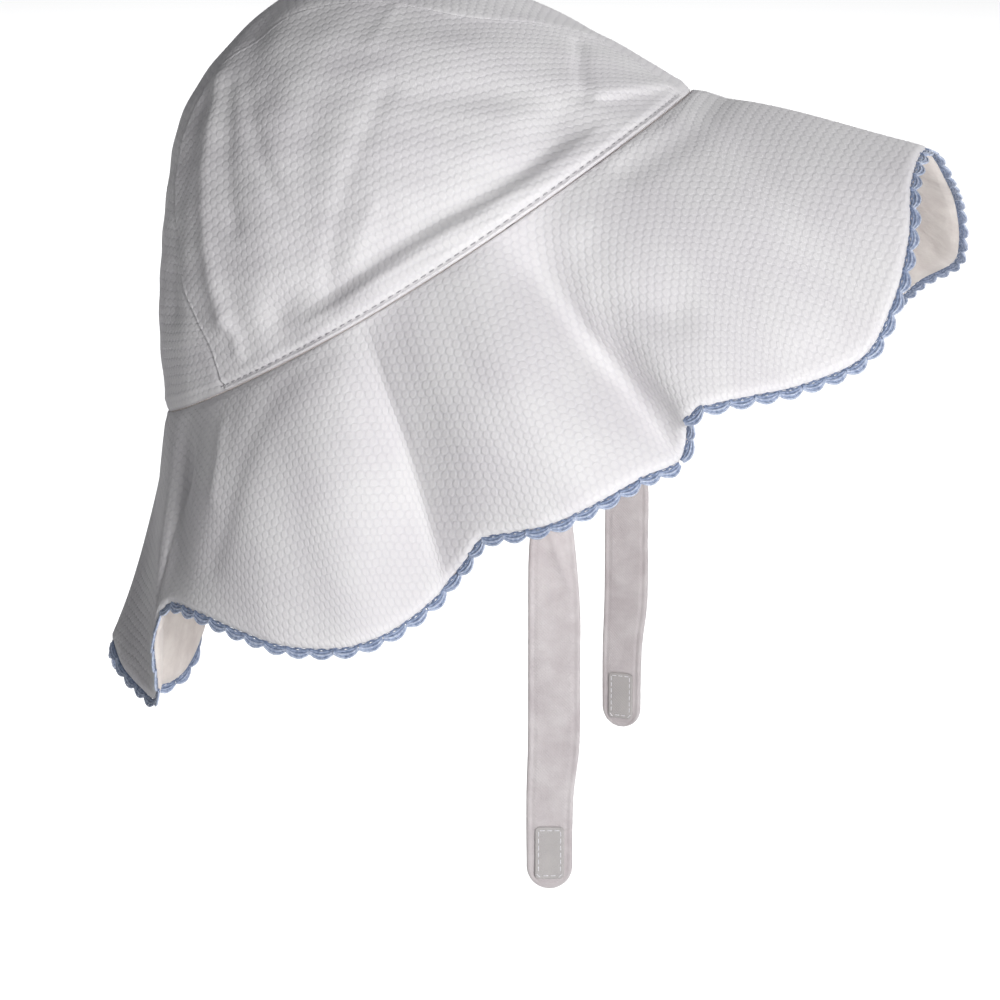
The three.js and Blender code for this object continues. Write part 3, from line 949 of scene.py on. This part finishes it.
def grown(carrier: bpy.types.Object, tree: bpy.types.NodeTree, values: Sequence[GroupInput],
          name: str) -> bpy.types.Object:
    """Run a geometry tree on a carrier and keep the result as a plain mesh.

    Args:
        carrier: The object whose points the tree reads; it is removed.
        tree: The geometry tree.
        values: The inputs' values.
        name: Name of the new piece.

    Returns:
        The new object.
    """
    modifier = carrier.modifiers.new("grow", "NODES")
    modifier.node_group = tree
    sockets = {item.name: item.identifier for item in tree.interface.items_tree
               if item.item_type == "SOCKET" and item.in_out == "INPUT"}
    for each in values:
        modifier[sockets[each.name]] = each.value
    bpy.context.view_layer.update()
    graph = bpy.context.evaluated_depsgraph_get()
    mesh = bpy.data.meshes.new_from_object(carrier.evaluated_get(graph), depsgraph=graph)
    mesh.name = name
    bpy.data.objects.remove(carrier)
    return shown(name, mesh)


def carrier_points(name: str, places: Array, along: Array, face: Array) -> bpy.types.Object:
    """Bare points that carry the directions of what is set on them.

    Args:
        name: Name of the carrier.
        places: Places, (n, 3), in millimetres.
        along: Direction of each repeat's length.
        face: Direction that each repeat faces.

    Returns:
        An object of vertices alone, with the attributes along and face.
    """
    mesh = bpy.data.meshes.new(name)
    mesh.from_pydata((places * MM).tolist(), [], [])
    for title, values in (("along", along), ("face", face)):
        layer = mesh.attributes.new(title, "FLOAT_VECTOR", "POINT")
        layer.data.foreach_set("vector", values.astype(np.float32).ravel())
    return shown(name, mesh)


def arc_thread(tree: bpy.types.NodeTree, start: Sequence, middle: Sequence, end: Sequence,
               radius: bpy.types.NodeSocket, steps: int) -> bpy.types.NodeSocket:
    """A bent piece of thread in a geometry tree.

    Args:
        tree: The tree.
        start: The three coordinates of its start, numbers or sockets.
        middle: The bend's control place.
        end: Its end.
        radius: Socket with the thread's radius.
        steps: Steps along it.

    Returns:
        The socket of its mesh.
    """
    places = [add_node(tree, "ShaderNodeCombineXYZ", {}, dict(enumerate(each))).outputs[0]
              for each in (start, middle, end)]
    line = add_node(tree, "GeometryNodeCurveQuadraticBezier", {},
                    {"Resolution": steps, "Start": places[0], "Middle": places[1], "End": places[2]})
    section = add_node(tree, "GeometryNodeCurvePrimitiveCircle", {}, {"Resolution": 6, "Radius": radius})
    tube = add_node(tree, "GeometryNodeCurveToMesh", {},
                    {"Curve": line.outputs[0], "Profile Curve": section.outputs[0], "Fill Caps": True})
    return tube.outputs[0]


def scaled(tree: bpy.types.NodeTree, socket: bpy.types.NodeSocket, factor: float) -> bpy.types.NodeSocket:
    """A socket's value times a factor."""
    return add_node(tree, "ShaderNodeMath", {"operation": "MULTIPLY"}, {0: socket, 1: factor}).outputs[0]


def set_on_points(tree: bpy.types.NodeTree, source: bpy.types.Node, shapes: Sequence[bpy.types.NodeSocket],
                  material: bpy.types.Material) -> None:
    """End a geometry tree: the joined shapes stand on each point, real and with their material.

    Args:
        tree: The tree.
        source: Its input node.
        shapes: Meshes to join into one repeat.
        material: What they are made of.
    """
    joined = add_node(tree, "GeometryNodeJoinGeometry")
    for shape in shapes:
        tree.links.new(shape, joined.inputs[0])
    facing, running = (add_node(tree, "GeometryNodeInputNamedAttribute", {"data_type": "FLOAT_VECTOR"},
                                {"Name": title}) for title in ("face", "along"))
    turned = add_node(tree, "FunctionNodeAxesToRotation", {"primary_axis": "Z", "secondary_axis": "X"},
                      {"Primary Axis": facing.outputs[0], "Secondary Axis": running.outputs[0]})
    placed = add_node(tree, "GeometryNodeInstanceOnPoints", {},
                      {"Points": source.outputs[0], "Instance": joined.outputs[0],
                       "Rotation": turned.outputs[0]})
    real = add_node(tree, "GeometryNodeRealizeInstances", {}, {"Geometry": placed.outputs[0]})
    smooth = add_node(tree, "GeometryNodeSetShadeSmooth", {}, {"Geometry": real.outputs[0]})
    dyed = add_node(tree, "GeometryNodeSetMaterial", {},
                    {"Geometry": smooth.outputs[0], "Material": material})
    sink = add_node(tree, "NodeGroupOutput")
    tree.links.new(dyed.outputs[0], sink.inputs[0])


@dataclass
class StitchRow:
    """A row of sewn stitches along a line on the cloth."""

    length: float = 2.0
    pitch: float = 2.6
    thread: float = 0.45
    rise: float = 0.25

    def sewn(self, name: str, line: Array, face: Array, material: bpy.types.Material,
             closed: bool = False) -> bpy.types.Object:
        """Sew the row.

        Args:
            name: Name of the piece.
            line: Close places along the row on the cloth's face, (n, 3).
            face: Where the cloth faces at each, (n, 3).
            material: The thread's material.
            closed: Whether the row runs round to its start.

        Returns:
            The new piece.
        """
        if closed:
            line, face = (np.concatenate([values, values[:1]]) for values in (line, face))
        lengths = run_lengths(line)
        count = max(int(round(lengths[-1] / self.pitch)), 1)
        goals = (np.arange(count) + 0.5) * lengths[-1] / count

        def sampled(at: Array, values: Array) -> Array:
            """Places or directions at lengths along the row."""
            return np.stack([np.interp(at, lengths, values[:, axis]) for axis in range(3)], axis=1)

        step = self.length / 2
        along = unit(sampled(goals + step, line) - sampled(goals - step, line))
        carrier = carrier_points(name + "_carrier", sampled(goals, line), along, unit(sampled(goals, face)))
        values = [GroupInput("Stitch length", self.length * MM),
                  GroupInput("Thread radius", self.thread * MM / 2), GroupInput("Rise", self.rise * MM)]
        tree, source = geometry_tree(name + "_stitches", values)
        length, radius, rise = source.outputs[1], source.outputs[2], source.outputs[3]
        start, end = ((scaled(tree, length, way), 0, scaled(tree, rise, -1.2)) for way in (-0.5, 0.5))
        shape = arc_thread(tree, start, (0, 0, scaled(tree, rise, 2.2)), end, radius, 6)
        set_on_points(tree, source, [shape], material)
        return grown(carrier, tree, values, name)


# The hat's sub-assemblies


def finished(piece: bpy.types.Object, slot: str, *nodes: str) -> bpy.types.Object:
    """Join a piece to the hat's body and hide the CAD nodes that it stands for.

    Args:
        piece: The piece.
        slot: Name of the piece's material slot; it is not used.
        nodes: CAD nodes that it stands for.

    Returns:
        The piece.
    """
    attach(piece, "root")
    if nodes:
        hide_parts(*nodes)
    LOG.info("%s: %d faces", piece.name, len(piece.data.polygons))
    return piece


def dressed(piece: bpy.types.Object, material: bpy.types.Material) -> bpy.types.Object:
    """Give a piece its one material."""
    piece.data.materials.clear()
    piece.data.materials.append(material)
    return piece


@dataclass
class Crown:
    """The crown: a strip from the front over the top to the back, and a panel on each side."""

    form: HatForm
    finishes: Finishes
    wall: float = 1.4
    fan_steps: int = 230
    strip_rows: int = 70
    panel_rows: int = 78
    roll_height: float = 0.4
    stitch_line: float = 1.6
    groove_depth: float = 0.42
    swell_height: float = 0.3
    seam_height: float = 0.25
    wave_height: float = 0.22
    panel_radius: float = 80.0
    stitch_steps: int = 1200

    def rim_relief(self, distance: Array) -> Array:
        """Rolled edge, sewn groove and swell along the band seam, by the distance above the rim."""
        return (self.roll_height * bump(distance, 0.6, 0.6)
                - self.groove_depth * bump(distance, self.stitch_line, 0.45)
                + self.swell_height * bump(distance, 3.6, 1.2))

    def relief(self, rays: Array, to_seam: Array, side: float) -> Array:
        """Fine relief of the crown's cloth.

        Args:
            rays: Unit directions, (n, 3).
            to_seam: Distance to the seam between strip and side panel.
            side: 1 on a side panel, whose edge lies on top, and -1 on the strip.

        Returns:
            Heights, in millimetres.
        """
        left, back, up = rays.T
        folds = self.form.fold_heights(CROWN_FOLDS, rays)
        seam = side * self.seam_height * bump(to_seam, 0, 1.3)
        waves = self.wave_height * np.sin(17 * left + 23 * up) * np.sin(21 * back - 13 * up + 1.1)
        return folds + seam + waves + self.rim_relief(self.form.above_rim(rays))

    def wall_of(self, name: str, rays: Array, to_seam: Array, side: float, flat: Array) -> bpy.types.Object:
        """Make one of the crown's pieces.

        Args:
            name: Name of the piece.
            rays: Grid of unit directions, (columns, rows, 3).
            to_seam: Distance to the long seam at each.
            side: 1 on a side panel and -1 on the strip.
            flat: Places in the flat cut.

        Returns:
            The piece.
        """
        columns, rows = rays.shape[:2]
        each = rays.reshape(-1, 3)
        raised = self.relief(each, to_seam.ravel(), side)
        base = self.form.crown_points(each).reshape(columns, rows, 3)
        points = self.form.crown_points(each, raised).reshape(columns, rows, 3)
        normals = grid_normals(base, ring=False)
        outward = self.form.worn(rays)
        normals *= np.sign(np.sum(normals * outward, axis=-1, keepdims=True))
        weak = np.linalg.norm(normals, axis=-1, keepdims=True) < 0.5
        normals = np.where(weak, outward, normals)
        edge = rounded(np.minimum(self.form.above_rim(rays), to_seam), 0.8)
        half = self.wall / 2
        return cloth_wall(name, points, normals, -half * edge, half * edge, flat)

    def centre_strip(self) -> bpy.types.Object:
        """Make the strip over the top."""
        fans = np.linspace(0, 180, self.fan_steps + 1)
        right, left = (self.form.strip.at(side, fans)[:, None] - self.form.seam_gap / 2
                       for side in ("right", "left"))
        shares = np.sin(np.linspace(-1, 1, self.strip_rows + 1) * math.pi / 2)[None] / 2 + 0.5
        across = -right + (left + right) * shares
        rays = self.form.fan_rays(across.ravel(), np.repeat(fans, across.shape[1]))
        rays = rays.reshape(*across.shape, 3)
        middle = self.form.crown_points(rays[:, across.shape[1] // 2])
        along = run_lengths(middle)
        flat = np.stack([across, np.broadcast_to(along[:, None], across.shape)], axis=-1)
        piece = self.wall_of("crown_strip_cloth", rays, np.minimum(across + right, left - across), -1, flat)
        return finished(dressed(piece, self.finishes.pique), "honeycomb_cotton", "crown_centre_strip")

    def side_rays(self, side: int) -> Array:
        """Grid of directions over a side panel, from the rim to the long seam."""
        fans = np.linspace(0, 180, self.fan_steps + 1)
        reach = self.form.strip.at("right" if side > 0 else "left", fans) + self.form.seam_gap / 2
        seam = self.form.fan_rays(-side * reach, fans)
        turns = np.degrees(np.arctan2(-seam[:, 0], -seam[:, 1])) % 360
        rim = self.form.direction(np.linspace(turns[0], turns[-1], len(fans)), np.zeros(len(fans)))
        shares = (1 - np.cos(np.linspace(0, 1, self.panel_rows + 1) * math.pi)) / 2
        grid = rim[:, None] * (1 - shares[None, :, None]) + seam[:, None] * shares[None, :, None]
        return unit(grid)

    def side_panel(self, side: int, word: str) -> bpy.types.Object:
        """Make a side panel.

        Args:
            side: 1 for the wearer's right and -1 for the left.
            word: The side's name.

        Returns:
            The panel.
        """
        rays = self.side_rays(side)
        columns, rows = rays.shape[:2]
        points = self.form.crown_points(rays.reshape(-1, 3)).reshape(columns, rows, 3)
        steps = np.linalg.norm(np.diff(points, axis=1), axis=-1)
        down = np.concatenate([np.zeros((columns, 1)), np.cumsum(steps, axis=1)], axis=1)
        to_seam = down[:, -1:] - down
        centre = self.form.direction(90 if side > 0 else 270, 35)
        sideways = unit(np.cross(UP, centre))
        upright = np.cross(centre, sideways)
        angle = np.arccos(np.clip(rays @ centre, -1, 1))
        plane = unit(np.stack([rays @ sideways, rays @ upright], axis=-1))
        flat = plane * (angle * self.panel_radius)[..., None]
        piece = self.wall_of(f"crown_side_{word}_cloth", rays, to_seam, 1, flat)
        return finished(dressed(piece, self.finishes.pique), "honeycomb_cotton", f"crown_side_{word}")

    def band_stitches(self) -> bpy.types.Object:
        """Sew the row of stitches above the band seam."""
        turns = np.linspace(0, 360, self.stitch_steps, endpoint=False)
        rise = math.degrees(self.stitch_line / (self.form.opening_length / 2))
        rays = self.form.direction(turns, np.full_like(turns, rise))
        far_from_seams = np.full(len(rays), 50.0)
        raised = self.relief(rays, far_from_seams, 1) + self.wall / 2
        # The grey of this thread is painted shade in the sunk stitch holes, not the thread's own colour
        line, thread = self.form.crown_points(rays, raised), self.finishes.sunk_sewing
        sewn = StitchRow().sewn("band_stitches", line, self.form.worn(rays), thread, closed=True)
        return finished(sewn, "honeycomb_cotton")

    def build(self) -> None:
        """Make every piece of the crown."""
        self.centre_strip()
        self.side_panel(1, "right")
        self.side_panel(-1, "left")
        self.band_stitches()


@dataclass
class Brim:
    """The wide floppy brim: an outer cloth of honeycomb cotton over a plain facing."""

    form: HatForm
    finishes: Finishes
    cloth: float = 1.1
    facing: float = 1.0
    layer_gap: float = 0.3
    columns: int = 960
    rows: int = 48
    facing_columns: int = 720
    facing_rows: int = 36
    row_spread: float = 1.15
    wave_height: float = 0.3

    def grid(self, columns: int, rows: int) -> tuple[Array, Array, Array, Array]:
        """The brim's middle surface.

        Args:
            columns: Steps round the hat.
            rows: Steps from the rim to the edging.

        Returns:
            Places, normals, places in the flat cut with one more column, and distances from the rim.
        """
        turns = self.form.even_turns(columns)
        lengths = np.linalg.norm(self.form.hem_points(turns) - self.form.rim_points(turns), axis=1)
        cloth_end = 1 - self.form.trim_width / lengths
        shares = np.linspace(0, 1, rows + 1) ** self.row_spread
        base = self.form.brim_points(turns, shares[None] * cloth_end[:, None])
        away = shares[None] * (lengths - self.form.trim_width)[:, None]
        normals = grid_normals(base, ring=True)
        opening = self.form.worn(self.form.direction(turns, np.zeros_like(turns)))
        blend = smooth_step(0, 0.06, shares)[None, :, None]
        normals = unit(opening[:, None] * (1 - blend) + normals * blend)
        flat = self.form.cut_places(turns[:, None], away)
        relief = self.relief(flat.reshape(-1, 2), away.ravel()).reshape(away.shape)
        points = base + normals * relief[..., None]
        closing = self.form.cut_places(np.array([[turns[0] + 360]]), away[:1])
        return points, normals, np.concatenate([flat, closing]), away

    def relief(self, flat: Array, away: Array) -> Array:
        """Fine relief of the brim's cloth.

        Args:
            flat: Places in the flat cut, (n, 2).
            away: Distance from the rim.

        Returns:
            Heights, in millimetres.
        """
        places = np.concatenate([flat, np.zeros((len(flat), 1))], axis=1)
        total = self.wave_height * np.sin(flat[:, 0] / 7.3 + 1.0) * np.sin(flat[:, 1] / 8.9 + 2.0)
        for fold in BRIM_FOLDS:
            path = np.array(fold.path, float)
            fine = np.linspace(0, len(path) - 1, 6 * (len(path) - 1) + 1)
            turn, share = (np.interp(fine, np.arange(len(path)), path[:, i]) for i in (0, 1))
            line = self.form.cut_places(turn, share * self.form.cut_width)
            line = np.concatenate([line, np.zeros((len(line), 1))], axis=1)
            total += fold.relief(places, UP, line)
        return total * smooth_step(0, 5, away)

    def layer(self, name: str, columns: int, rows: int, side: int, thick: float) -> bpy.types.Object:
        """Make one layer of cloth.

        Args:
            name: Name of the piece.
            columns: Steps round the hat.
            rows: Steps from the rim to the edging.
            side: 1 for the outer side of the middle surface and -1 for the inner one.
            thick: Thickness of the cloth.

        Returns:
            The layer.
        """
        points, normals, flat, away = self.grid(columns, rows)
        edge = rounded(away.max(axis=1, keepdims=True) - away, 1.0)
        near = side * self.layer_gap / 2
        far = near + side * thick * edge
        inner, outer = (near, far) if side > 0 else (far, near)
        piece = cloth_wall(name, points, normals, inner, outer, flat, ring=True)
        return piece

    def build(self) -> None:
        """Make both layers."""
        outer = self.layer("brim_cloth", self.columns, self.rows, 1, self.cloth)
        finished(dressed(outer, self.finishes.pique), "honeycomb_cotton", "brim")
        under = self.layer("brim_facing", self.facing_columns, self.facing_rows, -1, self.facing)
        finished(dressed(under, self.finishes.facing), "plain_facing", "under_brim")


class Strand(NamedTuple):
    """A bent thread of one scallop, in shares of its pitch along the hem and of its width outwards."""

    middle: float
    half: float
    base: float
    tip: float
    lift: float


CHAIN_STRANDS = tuple(Strand(middle, 0.27, 0.04, tip, 0.03)
                      for middle in (-1 / 4, 1 / 4) for tip in (-0.06, 0.16)) + (
    Strand(0.01, 0.50, 0.20, 0.43, 0.0),
)
SHELL_STRANDS = (
    Strand(0.00, 0.49, 0.14, 0.30, 0.05),
    Strand(0.01, 0.52, 0.28, 0.72, 0.0),
)
OUTER_STRANDS = (
    Strand(0.00, 0.51, 0.24, 0.58, 0.06),
    Strand(0.01, 0.53, 0.34, 0.90, 0.03),
)


@dataclass
class CrochetEdging:
    """The crochet edging: chain loops at the cloth and nested strands that make each shallow scallop."""

    form: HatForm
    brim: Brim
    finishes: Finishes
    scallops: int = 130
    width: float = 3.1
    thread: float = 0.56

    def worked(self, name: str, strands: Sequence[Strand], material: bpy.types.Material) -> bpy.types.Object:
        """Work one kind of strand round the whole hem.

        Args:
            name: Name of the piece.
            strands: The strands of one scallop.
            material: Their thread.

        Returns:
            The new piece.
        """
        points, normals, _, _ = self.brim.grid(self.scallops * 4, self.brim.rows)
        hem, inside, face = points[2::4, -1], points[2::4, -3], normals[2::4, -1]
        before, after = points[0::4, -1], np.roll(points[:, -1], -4, axis=0)[0::4]
        outward, along = unit(hem - inside), unit(after - before)
        across = unit(np.cross(along, outward))
        across *= np.sign(np.sum(across * face, axis=1, keepdims=True))
        carrier = carrier_points(name + "_carrier", hem, along, across)
        pitch = float(np.mean(np.linalg.norm(after - before, axis=1)))
        values = [GroupInput("Pitch", pitch * MM), GroupInput("Width", self.width * MM),
                  GroupInput("Thread radius", self.thread * MM / 2)]
        tree, source = geometry_tree(name + "_strands", values)
        run, deep, radius = source.outputs[1], source.outputs[2], source.outputs[3]
        way = float(np.sign(np.mean(np.sum(np.cross(across, along) * outward, axis=1))))

        def place(at: float, out: float, lift: float) -> tuple:
            """Sockets of a place in the scallop, by shares of its pitch and its width."""
            return scaled(tree, run, at), scaled(tree, deep, way * out), scaled(tree, deep, lift)

        shapes = []
        for strand in strands:
            start, end = (place(strand.middle + side * strand.half, strand.base, strand.lift + side * 0.05)
                          for side in (-1, 1))
            middle = place(strand.middle, 2 * strand.tip - strand.base, strand.lift)
            shapes.append(arc_thread(tree, start, middle, end, radius, 12 if strand.half > 0.3 else 6))
        set_on_points(tree, source, shapes, material)
        return grown(carrier, tree, values, name)

    def build(self) -> None:
        """Work the chain, the shells and their outer strands."""
        finishes = self.finishes
        # The chain's darker blue is painted shade and the outer strands' paler blue is a painted highlight
        # on the same thread
        finished(self.worked("edging_chain", CHAIN_STRANDS, finishes.chain), "crochet_edging")
        finished(self.worked("edging_shells", SHELL_STRANDS, finishes.edging), "crochet_edging", "edge_trim")
        finished(self.worked("edging_outer_strands", OUTER_STRANDS, finishes.outer_edging), "crochet_edging")


@dataclass
class ChinStrap:
    """A cotton chin strap with a round end and a small fastening pad sewn on."""

    finishes: Finishes
    side: int
    word: str
    wall: float = 1.8
    end_radius: float = 6.2
    seam_inset: float = 1.6
    seam_depth: float = 0.28
    pad_size: tuple[float, float, float] = (8.0, 0.45, 15.0)
    pad_to_end: float = 3.0
    pad_corner: float = 1.5
    stitch_inset: float = 1.0
    twist_top: float = 52
    twist_end: float = 78
    cross_crease: float = 99
    layer_gap: float = 0.05
    route: SmoothTable = field(default_factory=lambda: SmoothTable(STRAP_ROUTE, "down"))

    def station(self, down: Array) -> tuple[Array, Array, Array, Array]:
        """Middle line, outer direction, sideways direction and width at a depth."""
        down, at = np.asarray(down, float), self.route.at
        point = np.stack([-self.side * at("right", down), -at("front", down), -down], axis=-1)
        face = np.radians(at("face", down))
        normal = np.stack([-self.side * np.sin(face), -np.cos(face), np.zeros_like(face)], axis=-1)
        return point, normal, np.cross(UP, normal), at("width", down)

    def crumples(self, down: Array, across: Array, shares: Array) -> Array:
        """Height of the strap's crumples, its twist under the brim and the crease across it.

        Args:
            down: Depths, (n, 1).
            across: Distances from the middle line, counted the same way on both straps, (n, m).
            shares: Shares of the half width, (m,).

        Returns:
            Heights, (n, m).
        """
        fine = 0.12 * np.sin(down / 2.9 + shares * 2.2) * np.sin(down / 1.7 - shares)
        aside = across - np.interp(down, (self.twist_top, self.twist_end), (-3.5, 4.5))
        held = smooth_step(self.twist_end, self.twist_end - 8, down)
        twist = 1.2 * np.exp(-np.abs(aside) / 0.8) - 0.5 * np.exp(-np.abs(aside - 2) / 0.7)
        crease = 0.5 * bump(down, self.cross_crease + 0.2 * across, 0.8)
        return fine + held * twist - crease

    def strap(self) -> bpy.types.Object:
        """Make the strap as a flat tube with soft edges."""
        top, end = STRAP_ROUTE[0].down, STRAP_ROUTE[-1].down
        start = end - self.end_radius
        angle = np.linspace(0, 1, 15)[1:] * math.pi / 2
        down = np.concatenate([np.linspace(top, start, 150), start + self.end_radius * np.sin(angle)])
        point, normal, sideways, width = self.station(down)
        round_half = np.sqrt(np.maximum(self.end_radius**2 - (down - start) ** 2, 0.01))
        half = np.where(down > start, round_half, width / 2)[:, None]
        shares = np.sin(np.linspace(-1, 1, 31) * math.pi / 2)
        across = half * shares
        points = point[:, None] + sideways[:, None] * across[..., None]
        normals = np.broadcast_to(normal[:, None], points.shape)
        to_edge = np.minimum(half * (1 - np.abs(shares)), (end - down)[:, None] + 0.02)
        seam = self.seam_depth * bump(to_edge, self.seam_inset, 0.4)
        half_wall = self.wall / 2 * rounded(to_edge, 0.9) - seam
        outer = half_wall + self.crumples(down[:, None], across * self.side, shares)
        flat = np.stack([across, np.broadcast_to(down[:, None], across.shape)], axis=-1)
        piece = cloth_wall(f"strap_{self.word}_cloth", points, normals, -half_wall, outer, flat)
        return finished(dressed(piece, self.finishes.strap), "strap_cotton", f"chin_strap_{self.word}")

    def pad_place(self, raised: float) -> tuple[Array, Array, Array]:
        """Where the pad's middle lies, which way it faces and which way is sideways.

        Args:
            raised: Height of the place above the strap's face and its gap.

        Returns:
            The place, the strap's outer direction and its sideways direction.
        """
        down = STRAP_ROUTE[-1].down - self.pad_to_end - self.pad_size[2] / 2
        point, normal, sideways, _ = (values[0] for values in self.station(np.array([down])))
        return point + normal * self.side * (self.wall / 2 + self.layer_gap + raised), normal, sideways

    def pad(self) -> bpy.types.Object:
        """Make the pad with rounded corners, slightly puffed between its stitches."""
        width, thick, length = self.pad_size
        centre, normal, sideways = self.pad_place(thick / 2)
        across, down = np.linspace(-1, 1, 25), np.linspace(-1, 1, 45)
        flat = np.stack(np.meshgrid(down * length / 2, across * width / 2, indexing="ij"), axis=-1)
        corner = self.pad_corner
        straight = np.array([length, width]) / 2 - corner
        over = np.maximum(np.abs(flat) - straight, 0)
        far = np.linalg.norm(over, axis=-1, keepdims=True)
        pulled = np.where(far > corner, over * (corner / np.maximum(far, 1e-6)), over)
        flat = np.sign(flat) * (np.minimum(np.abs(flat), straight) + pulled)
        points = centre + sideways * flat[..., 1:] - UP * flat[..., :1]
        normals = np.broadcast_to(normal * self.side, points.shape)
        edge = np.minimum(length / 2 - np.abs(flat[..., 0]), width / 2 - np.abs(flat[..., 1]))
        soft = rounded(edge, 0.6) * (1 - 0.35 * bump(edge, self.stitch_inset, 0.35))
        cut = np.stack([flat[..., 1], flat[..., 0]], axis=-1)
        piece = cloth_wall(f"pad_{self.word}_tape", points, normals, -thick / 2, thick / 2 * soft, cut)
        return finished(dressed(piece, self.finishes.tape), "fastening_pad", f"strap_pad_{self.word}")

    def pad_stitches(self) -> bpy.types.Object:
        """Sew the pad down with a row round its border."""
        width, thick, length = self.pad_size
        centre, normal, sideways = self.pad_place(thick * 0.9)
        half = np.array([width, length]) / 2 - self.stitch_inset
        corners = np.array([(-1, -1), (1, -1), (1, 1), (-1, 1), (-1, -1)]) * half
        line = np.concatenate([np.linspace(start, end, 30, endpoint=False)
                               for start, end in zip(corners[:-1], corners[1:])])
        places = centre + sideways * line[:, :1] - UP * line[:, 1:]
        face = np.broadcast_to(normal * self.side, places.shape)
        row = StitchRow(length=1.3, pitch=2.0, thread=0.28, rise=0.06)
        sewn = row.sewn(f"pad_{self.word}_stitches", places, face, self.finishes.sewing, closed=True)
        return finished(sewn, "fastening_pad")

    def build(self) -> None:
        """Make the strap, its pad and the stitches."""
        self.strap()
        self.pad()
        self.pad_stitches()


@dataclass
class Studio:
    """A pale floor, soft lights and the camera at the wearer's right."""

    floor_height: float = -0.45
    floor_reach: float = 9.0
    eye: Place = (-0.87057, -0.17256, 0.14941)
    azimuth: float = 10.0
    elevation: float = 14.0
    lens: float = 113.1
    sensor: float = 36.0
    lit_place: Place = (0, 0, -0.02)
    spot_place: Place = (3.5, 0.72, 6.0)
    spot_angle: float = 54.4
    air_light: float = 0.12

    def floor(self) -> None:
        """Lay the floor."""
        reach = self.floor_reach
        corners = np.array([(-reach, -reach), (reach, -reach), (reach, reach), (-reach, reach)]) / MM
        points = np.concatenate([corners, np.full((4, 1), self.floor_height / MM)], axis=1)
        made = mesh_object("studio_floor", points, [[0, 1, 2, 3]])
        dressed(made, StudioPaper().material("white_studio_paper"))

    @staticmethod
    def aim(made: bpy.types.Object, place: Place, ahead: Vector) -> None:
        """Put a lamp or a camera in its place and turn it to look ahead."""
        made.location = place
        made.rotation_mode = "QUATERNION"
        made.rotation_quaternion = ahead.to_track_quat("-Z", "Y")

    def lamp(self, name: str, place: Place, size: float, power: float) -> None:
        """Hang a soft lamp that looks at the hat.

        Args:
            name: Name of the lamp.
            place: Its place in metres.
            size: Width of its square face.
            power: Its power in watts.
        """
        data = bpy.data.lights.new(name, "AREA")
        data.size, data.energy = size, power
        self.aim(shown(name, data), place, Vector(self.lit_place) - Vector(place))

    def floor_spot(self, name: str, side: int, power: float) -> None:
        """Light the floor on one side of the hat, with a cone that leaves the hat out.

        Args:
            name: Name of the lamp.
            side: 1 for the wearer's left and -1 for the right.
            power: Its power in watts.
        """
        data = bpy.data.lights.new(name, "SPOT")
        data.energy, data.spot_size = power, math.radians(self.spot_angle)
        data.spot_blend, data.shadow_soft_size = 0.03, 0.1
        x, y, z = self.spot_place
        shown(name, data).location = (side * x, side * y, z)

    def camera(self) -> None:
        """Set the camera."""
        data = bpy.data.cameras.new("photo_camera")
        data.lens, data.sensor_width, data.clip_start, data.clip_end = self.lens, self.sensor, 0.01, 60
        turn, tip = math.radians(self.azimuth), math.radians(self.elevation)
        ahead = Vector((math.cos(turn) * math.cos(tip), math.sin(turn) * math.cos(tip), -math.sin(tip)))
        made = shown("photo_camera", data)
        self.aim(made, self.eye, ahead)
        bpy.context.scene.camera = made

    def build(self) -> None:
        """Set up the floor, the lights and the camera."""
        self.floor()
        world = bpy.data.worlds.new("studio_air")
        world.use_nodes = True
        air = world.node_tree.nodes["Background"]
        air.inputs["Color"].default_value = colour("#F4F6FA")
        air.inputs["Strength"].default_value = self.air_light
        bpy.context.scene.world = world
        bpy.context.scene.view_settings.view_transform = "Standard"
        self.lamp("key_lamp", (-1.01, -0.61, 0.2), 0.3, 9.9)
        self.lamp("front_lamp", (0.2, -1.2, 0.1), 0.5, 2.0)
        self.lamp("left_lamp", (1.3, -0.5, 0.75), 0.6, 9)
        self.lamp("back_lamp", (0.9, 1.5, 0.8), 0.6, 1.2)
        self.floor_spot("floor_spot_left", 1, 2000)
        self.floor_spot("floor_spot_right", -1, 420)
        self.camera()


def main() -> None:
    """Build the hat and the studio."""
    logging.basicConfig(level=logging.INFO, format="%(name)s %(message)s")
    Studio().build()
    form, finishes = HatForm(), Finishes.made()
    Crown(form, finishes).build()
    brim = Brim(form, finishes)
    brim.build()
    CrochetEdging(form, brim, finishes).build()
    for side, word in ((1, "right"), (-1, "left")):
        ChinStrap(finishes, side, word).build()


if __name__ == "__main__":
    main()
